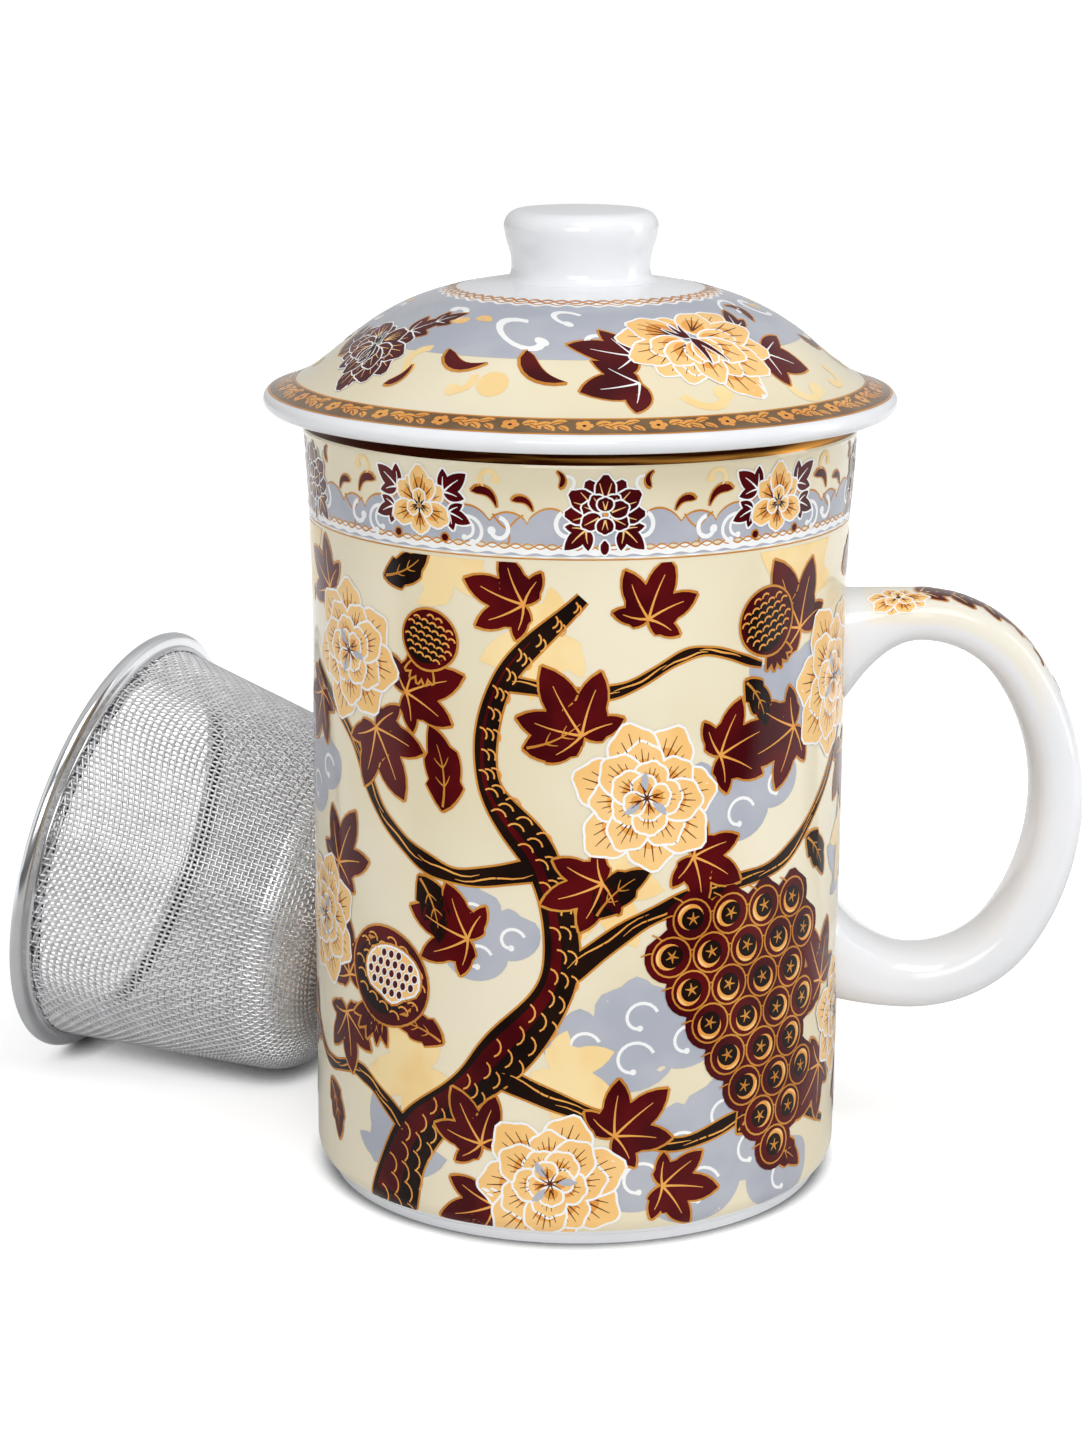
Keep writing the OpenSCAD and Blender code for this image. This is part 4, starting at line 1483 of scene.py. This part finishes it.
# %% Berries
def berry(pen, reach, level):
    """A round berry with a dark side, a bright rim and a starry crown."""
    pen.blob("ochre", oval(reach + 0.28, reach + 0.28), level, 5)
    pen.blob("maroon", oval(reach, reach), level + 1, 5)
    pen.at(-reach * 0.1, reach * 0.12).blob("amber", oval(reach * 0.72, reach * 0.68), level + 2, 5)
    pen.at(reach * 0.02, 0).blob("soot", oval(reach * 0.62, reach * 0.58), level + 3, 5)
    for turn in range(18, 378, 72):
        pen.at(reach * 0.04, 0, turn).band("ochre", bow(reach * 0.36), taper(0.2), level + 4, 3)
    glint = pen.at(-reach * 0.78, reach * 0.1)
    glint.band("apricot", curl(reach * 0.8, 170, -70, 0), swell(0.16), level + 4, 5)


def bunch(pen, rows, reach, level):
    """Berries in rows, each row lower and half a berry over, on a dark ground with gold lines."""
    spots = [(row, column, (start + column) * reach * 2.06, -row * reach * 1.74)
             for row, (start, count) in enumerate(rows) for column in range(count)]
    for row, column, x, y in spots:
        pen.at(x, y).blob("maroon", oval(reach * 1.32, reach * 1.3, 5, 0.1), level, 5)
        for turn in (70, 115):
            pen.at(x, y, turn).band("ochre", curl(reach * 1.5, -60, 60, 0), even(0.11), level + 1, 4)
    for row, column, x, y in spots:
        berry(pen.at(x, y, 40 * (row + column)), reach * 0.92, level + 3 + 5 * (row % 2))


# %% Camellia and vine leaf
def camellia(pen, reach, level):
    """A full flower: rings of ruffled petals, grey slivers at the heart and a crown of stamens."""
    rings = ((7, 1.0, 0.33, 0, 5), (7, 0.74, 0.27, 26, 5), (5, 0.48, 0.22, 8, 4), (4, 0.3, 0.15, 40, 2))
    for number, (count, out, wide, start, streaks) in enumerate(rings):
        petals = []
        for spot in range(count):
            turn = start + 360 * spot / count + 9 * math.sin(5 * spot + number)
            petals.append((turn, out * reach * (1 + 0.05 * math.sin(3 * spot)), wide * reach))
        blossom(pen, petals, level + 7 * number, streaks=streaks, rim=0.36)
    for turn in (30, 150, 255):
        sliver = pen.at(0, 0, turn).at(reach * 0.1, 0)
        sliver.band("lilac_grey", bow(reach * 0.26, 0.2), swell(reach * 0.05), level + 28, 4)
    for turn in range(0, 360, 45):
        pen.at(0, 0, turn).band("umber", bow(reach * 0.17, 0.1), taper(0.14), level + 29, 3)


def vine_leaf(pen, length, ink="maroon", edge="ochre", vein="amber", level=0):
    """Five pointed lobes from one point, with a line round them and a vein in each."""
    for turn, share in ((98, 0.56), (-98, 0.56), (46, 0.84), (-46, 0.84), (0, 1.0)):
        reach = length * share
        blade = pen.at(0, 0, turn)
        edged(blade, ink, edge, reach, saw_edge(reach * 0.28, 2), vine_line, level, (8, 4))
        if vein:
            blade.band(vein, bow(reach * 0.72, 0.2), taper(0.2), level + 2, stroke_cells(reach * 0.72))


# %% Bough
def bough(pen, path, thick, thin, level, barked):
    """Dark wood with a gold edge, and bark lines that follow it or scales across it."""
    def half(t):
        return (thick + (thin - thick) * t) * (1 + 0.14 * math.sin(23 * t) + 0.08 * math.sin(41 * t + 1))

    def across(t, lane):
        ahead = path(t + 0.01) - path(t - 0.01)
        return path(t) + 1j * ahead / abs(ahead) * half(t) * lane, math.degrees(cmath.phase(ahead))

    cells = 6 if thick > 2 else 3
    pen.band("ochre", path, grown(half, 0.3), level, 50, cells)
    pen.band("soot", path, half, level + 1, 50, cells)
    if barked:
        pen.band("maroon", lambda t: across(0.02 + 0.9 * t, 0.32)[0],
                 lambda t: half(t) * 0.5 * (1 - 0.8 * t), level + 2, 30, 3)
        rows = 34
        for row in range(rows):
            size = 1.5 * half(row / rows) ** 0.5
            for lane in ((-0.62, 0.0, 0.62), (-0.31, 0.31))[row % 2]:
                spot, lean = across(row / rows + 0.01, lane)
                pen.at(spot.real, spot.imag, lean).at(0, -size * 0.5).band(
                    "amber", curl(size * 0.55, 240, 125, 0), even(0.13), level + 3, 5)
    else:
        def crack(start, lane):
            return lambda t: across(start + 0.2 * t, lane + 0.2 * math.sin(9 * t))[0]

        for start, lane in ((0.03, 0.4), (0.16, -0.3), (0.34, 0.1), (0.52, -0.4), (0.68, 0.3)):
            pen.band("amber", crack(start, lane), swell(0.11), level + 2)


# %% [markdown]
# The layout is chosen as a pattern drawer does: first the boughs, then fruit and
# flowers where the eye rests, leaves in between, and the pale shapes last, behind everything.

# %% Orchard's layout
# Leaves as place, turn, length and ink; boughs as points, thickness and tip thickness
boughs = (
    (((-30, -50), (-25, -37), (-13, -25), (-3, -11), (-5, 5), (-13, 17), (-11, 31), (0, 43)), 3.9, 1.0),
    (((-3, -11), (8, -3), (20, 1), (32, 3), (44, 12), (52, 22)), 1.5, 0.5),
    (((-13, -25), (2, -31), (14, -36), (30, -33), (46, -40)), 1.5, 0.5),
    (((-5, 5), (-19, 3), (-30, 9), (-38, 20), (-50, 28)), 1.4, 0.5),
    (((-25, -37), (-36, -30), (-47, -31), (-57, -23)), 1.2, 0.4),
    (((-11, 31), (4, 30), (16, 35), (27, 32)), 0.9, 0.4),
)
# Flowers and fruits as place and reach
camellias = ((46, 27, 11.5), (9, 15, 10.5), (-38, 32, 10.0), (-4, -41, 10.5), (-47, -9, 9.5), (52, -25, 9.0))
fruits = ((-30, -14, 7.6, True), (-22, 36, 4.4, False), (28, 38, 5.0, False))
maroon_leaves = (
    (3, 3, 200, 9), (0, 24, 120, 11), (20, 20, 20, 10), (16, 6, -30, 9), (35, 36, 120, 12),
    (34, 22, 200, 11), (53, 15, -80, 10), (-26, 28, 20, 10), (-44, 40, 150, 9), (-32, 22, -60, 11),
    (-48, 24, 240, 9), (-16, -6, 160, 10), (-39, -16, 100, 10), (-42, 0, 60, 10), (-40, -22, -80, 9),
    (-14, -36, 120, 9), (5, -34, 40, 10), (-12, -45, 200, 9), (12, -42, -10, 9), (44, -18, 120, 11),
    (44, -31, 220, 10), (-8, 42, 160, 9), (9, 40, 70, 9), (-54, -26, 200, 8), (56, -36, -40, 8))
saw_leaves = (
    (2, -2, 40, 10, "soot"), (-20, 12, 100, 12, "maroon"), (-24, 2, -70, 10, "soot"),
    (-8, 22, 30, 11, "maroon"), (24, 30, -60, 8, "soot"), (-30, 44, 30, 9, "soot"),
    (38, 5, -50, 9, "soot"), (-20, -22, 170, 9, "maroon"), (-46, -34, -70, 9, "maroon"),
    (24, -36, 60, 9, "soot"), (30, -40, -30, 9, "maroon"), (50, 42, 30, 9, "soot"))
grey_leaves = ((30, 26, 30, 15), (-30, -42, 60, 13), (54, -4, 100, 12))
pale_leaves = ((-3, 38, 200, 12), (36, 42, 100, 14), (-18, 44, 110, 12), (-22, -26, 200, 14),
               (-56, 42, 40, 12), (2, 4, 300, 12), (56, 4, 240, 11), (-4, -24, 330, 11))
# Clouds as a place and the rounds about it
clouds = (
    (17, -42, ((0, 0, 8), (9, 4, 7), (-9, 2, 7), (4, 10, 6), (16, -2, 7), (-3, 6, 7))),
    (7, -22, ((0, 0, 7), (8, 2, 6), (-7, 2, 5.5), (1, 6, 6))),
    (-52, 10, ((0, 0, 6), (6, 4, 5), (-3, 7, 5))),
    (23, 12, ((0, 0, 6), (7, 3, 5), (-6, 3, 5), (2, 6, 5))),
    (-15, -8, ((0, 0, 5), (5, 3, 4.5), (-1, 6, 5))))
bunch_rows = ((0.0, 4), (-0.5, 5), (0.0, 4), (0.5, 4), (1.0, 3), (1.5, 3), (2.0, 2), (2.5, 1))
berry_r = 3.0
leaf_count = len(maroon_leaves) + len(saw_leaves) + len(grey_leaves) + len(pale_leaves)
print("orchard of", len(camellias), "flowers,", len(fruits), "fruits and", leaf_count, "leaves")


# %% Orchard
def cloud_bank(pen, rounds):
    """Overlapping rounds with a curl of light line in each."""
    for number, (x, y, reach) in enumerate(rounds):
        pen.at(x, y).blob("lilac_grey", oval(reach, reach * 0.8, 5, 0.12), number % 2, 6)
        scroll(pen.at(x + reach * 0.5, y), "white", reach * 0.45, 20, 250, 0.24, 3)


def orchard(pen):
    for x, y, rounds in clouds:
        cloud_bank(pen.at(x, y), rounds)
    for ink, level, leaves in (("lilac_grey", 0, grey_leaves), ("pale_apricot", 3, pale_leaves)):
        for x, y, turn, length in leaves:
            vine_leaf(pen.at(x, y, turn), length, ink, None, None, level)
    for number, (points, thick, thin) in enumerate(reversed(boughs)):
        bough(pen, through(*points), thick, thin, 5, number == len(boughs) - 1)
    for x, y, turn, length in maroon_leaves:
        vine_leaf(pen.at(x, y, turn), length, level=10)
    for number, (x, y, turn, length, ink) in enumerate(saw_leaves):
        saw_leaf(pen.at(x, y, turn), length, ink, (-1) ** number * length * 0.1, 10)
    bunch(pen.at(16, -3), bunch_rows, berry_r, 13)
    for x, y, reach, opened in fruits:
        pomegranate(pen.at(x, y, 180 + 0.8 * x), reach, opened, 14)
    for x, y, reach in camellias:
        camellia(pen.at(x, y, 7 * x), reach, 14)


orchard_z = 51.0
for side in (0.0, math.pi):
    orchard(Pen(wall_print, side, orchard_z))

# %% [markdown]
# ## Sprig on the handle
# The strap carries a small apricot flower with maroon leaves, laid over the front edge of its
# upper bar, and a few drops further round the loop. The skin's run is the way along the strap
# and its angle, here also in mm, the way across it.

# %% Strap's skin
strap_runs = [0.0]
for before, after in zip(stations, stations[1:]):
    strap_runs.append(strap_runs[-1] + math.dist(before[:2], after[:2]))
across_turn = math.radians(9.5)


def strap_skin(along, run, lift):
    """A point on the strap: mm along the loop from its upper root, and mm across from its middle."""
    number = min(max(bisect.bisect(strap_runs, along) - 1, 0), len(stations) - 2)
    share = (along - strap_runs[number]) / (strap_runs[number + 1] - strap_runs[number])
    station = [a + (b - a) * share for a, b in zip(stations[number], stations[number + 1])]
    return strap_point(station, across_turn * run, lift)


handle_print = Print("handle_print", strap_skin, even(1.0), -9.0, 9.0, -2.0)
print("strap", round(strap_runs[-1], 1), "mm along the loop")

# %% Sprig on the handle
sprig = Pen(handle_print, 9.4, -3.4, level=3)
sprig_leaves = ((3.4, 1.9, 16, 5.4), (7.4, 2.6, 4, 5.6), (11.8, 3.0, -8, 5.0), (16.0, 3.2, -8, 3.8))
sprig_petals = ((178, 4.2, 1.3), (214, 4.2, 1.4), (250, 4.0, 1.4), (290, 4.0, 1.4), (326, 4.2, 1.4),
                (2, 4.2, 1.3), (60, 3.0, 1.2), (120, 3.0, 1.2))
# Drops as the way along the loop and across it, turn and length
sprig_drops = ((29, -2.6, -30, 2.6), (34, -1.6, -10, 2.2), (54, -2.0, 10, 2.4), (60, -1.2, 0, 2.0),
               (102, -2.0, 0, 3.4), (108, -2.4, 20, 3.0))
for x, y, turn, length in sprig_leaves:
    leaf_hand(sprig.at(x, y, turn, level=-3), length, vein="apricot")
blossom(sprig, sprig_petals, 4, streaks=3, rim=0.26)
blossom(sprig, ((220, 2.2, 0.9), (320, 2.2, 0.9), (90, 1.8, 0.8)), 12, streaks=2, rim=0.2)
dot(sprig, "umber", 0.35, 20)
for along, run, turn, length in sprig_drops:
    comma(Pen(handle_print, along, run, level=1).at(0, 0, turn), length)

# %% [markdown]
# ## Firing the print
# All patches of one ink on one surface become one piece, which rides on the body it is printed
# on.

# %% Fire the print
mug_print.finish("mug")
wall_print.finish("mug")
lid_print.finish("lid")
handle_print.finish("mug")
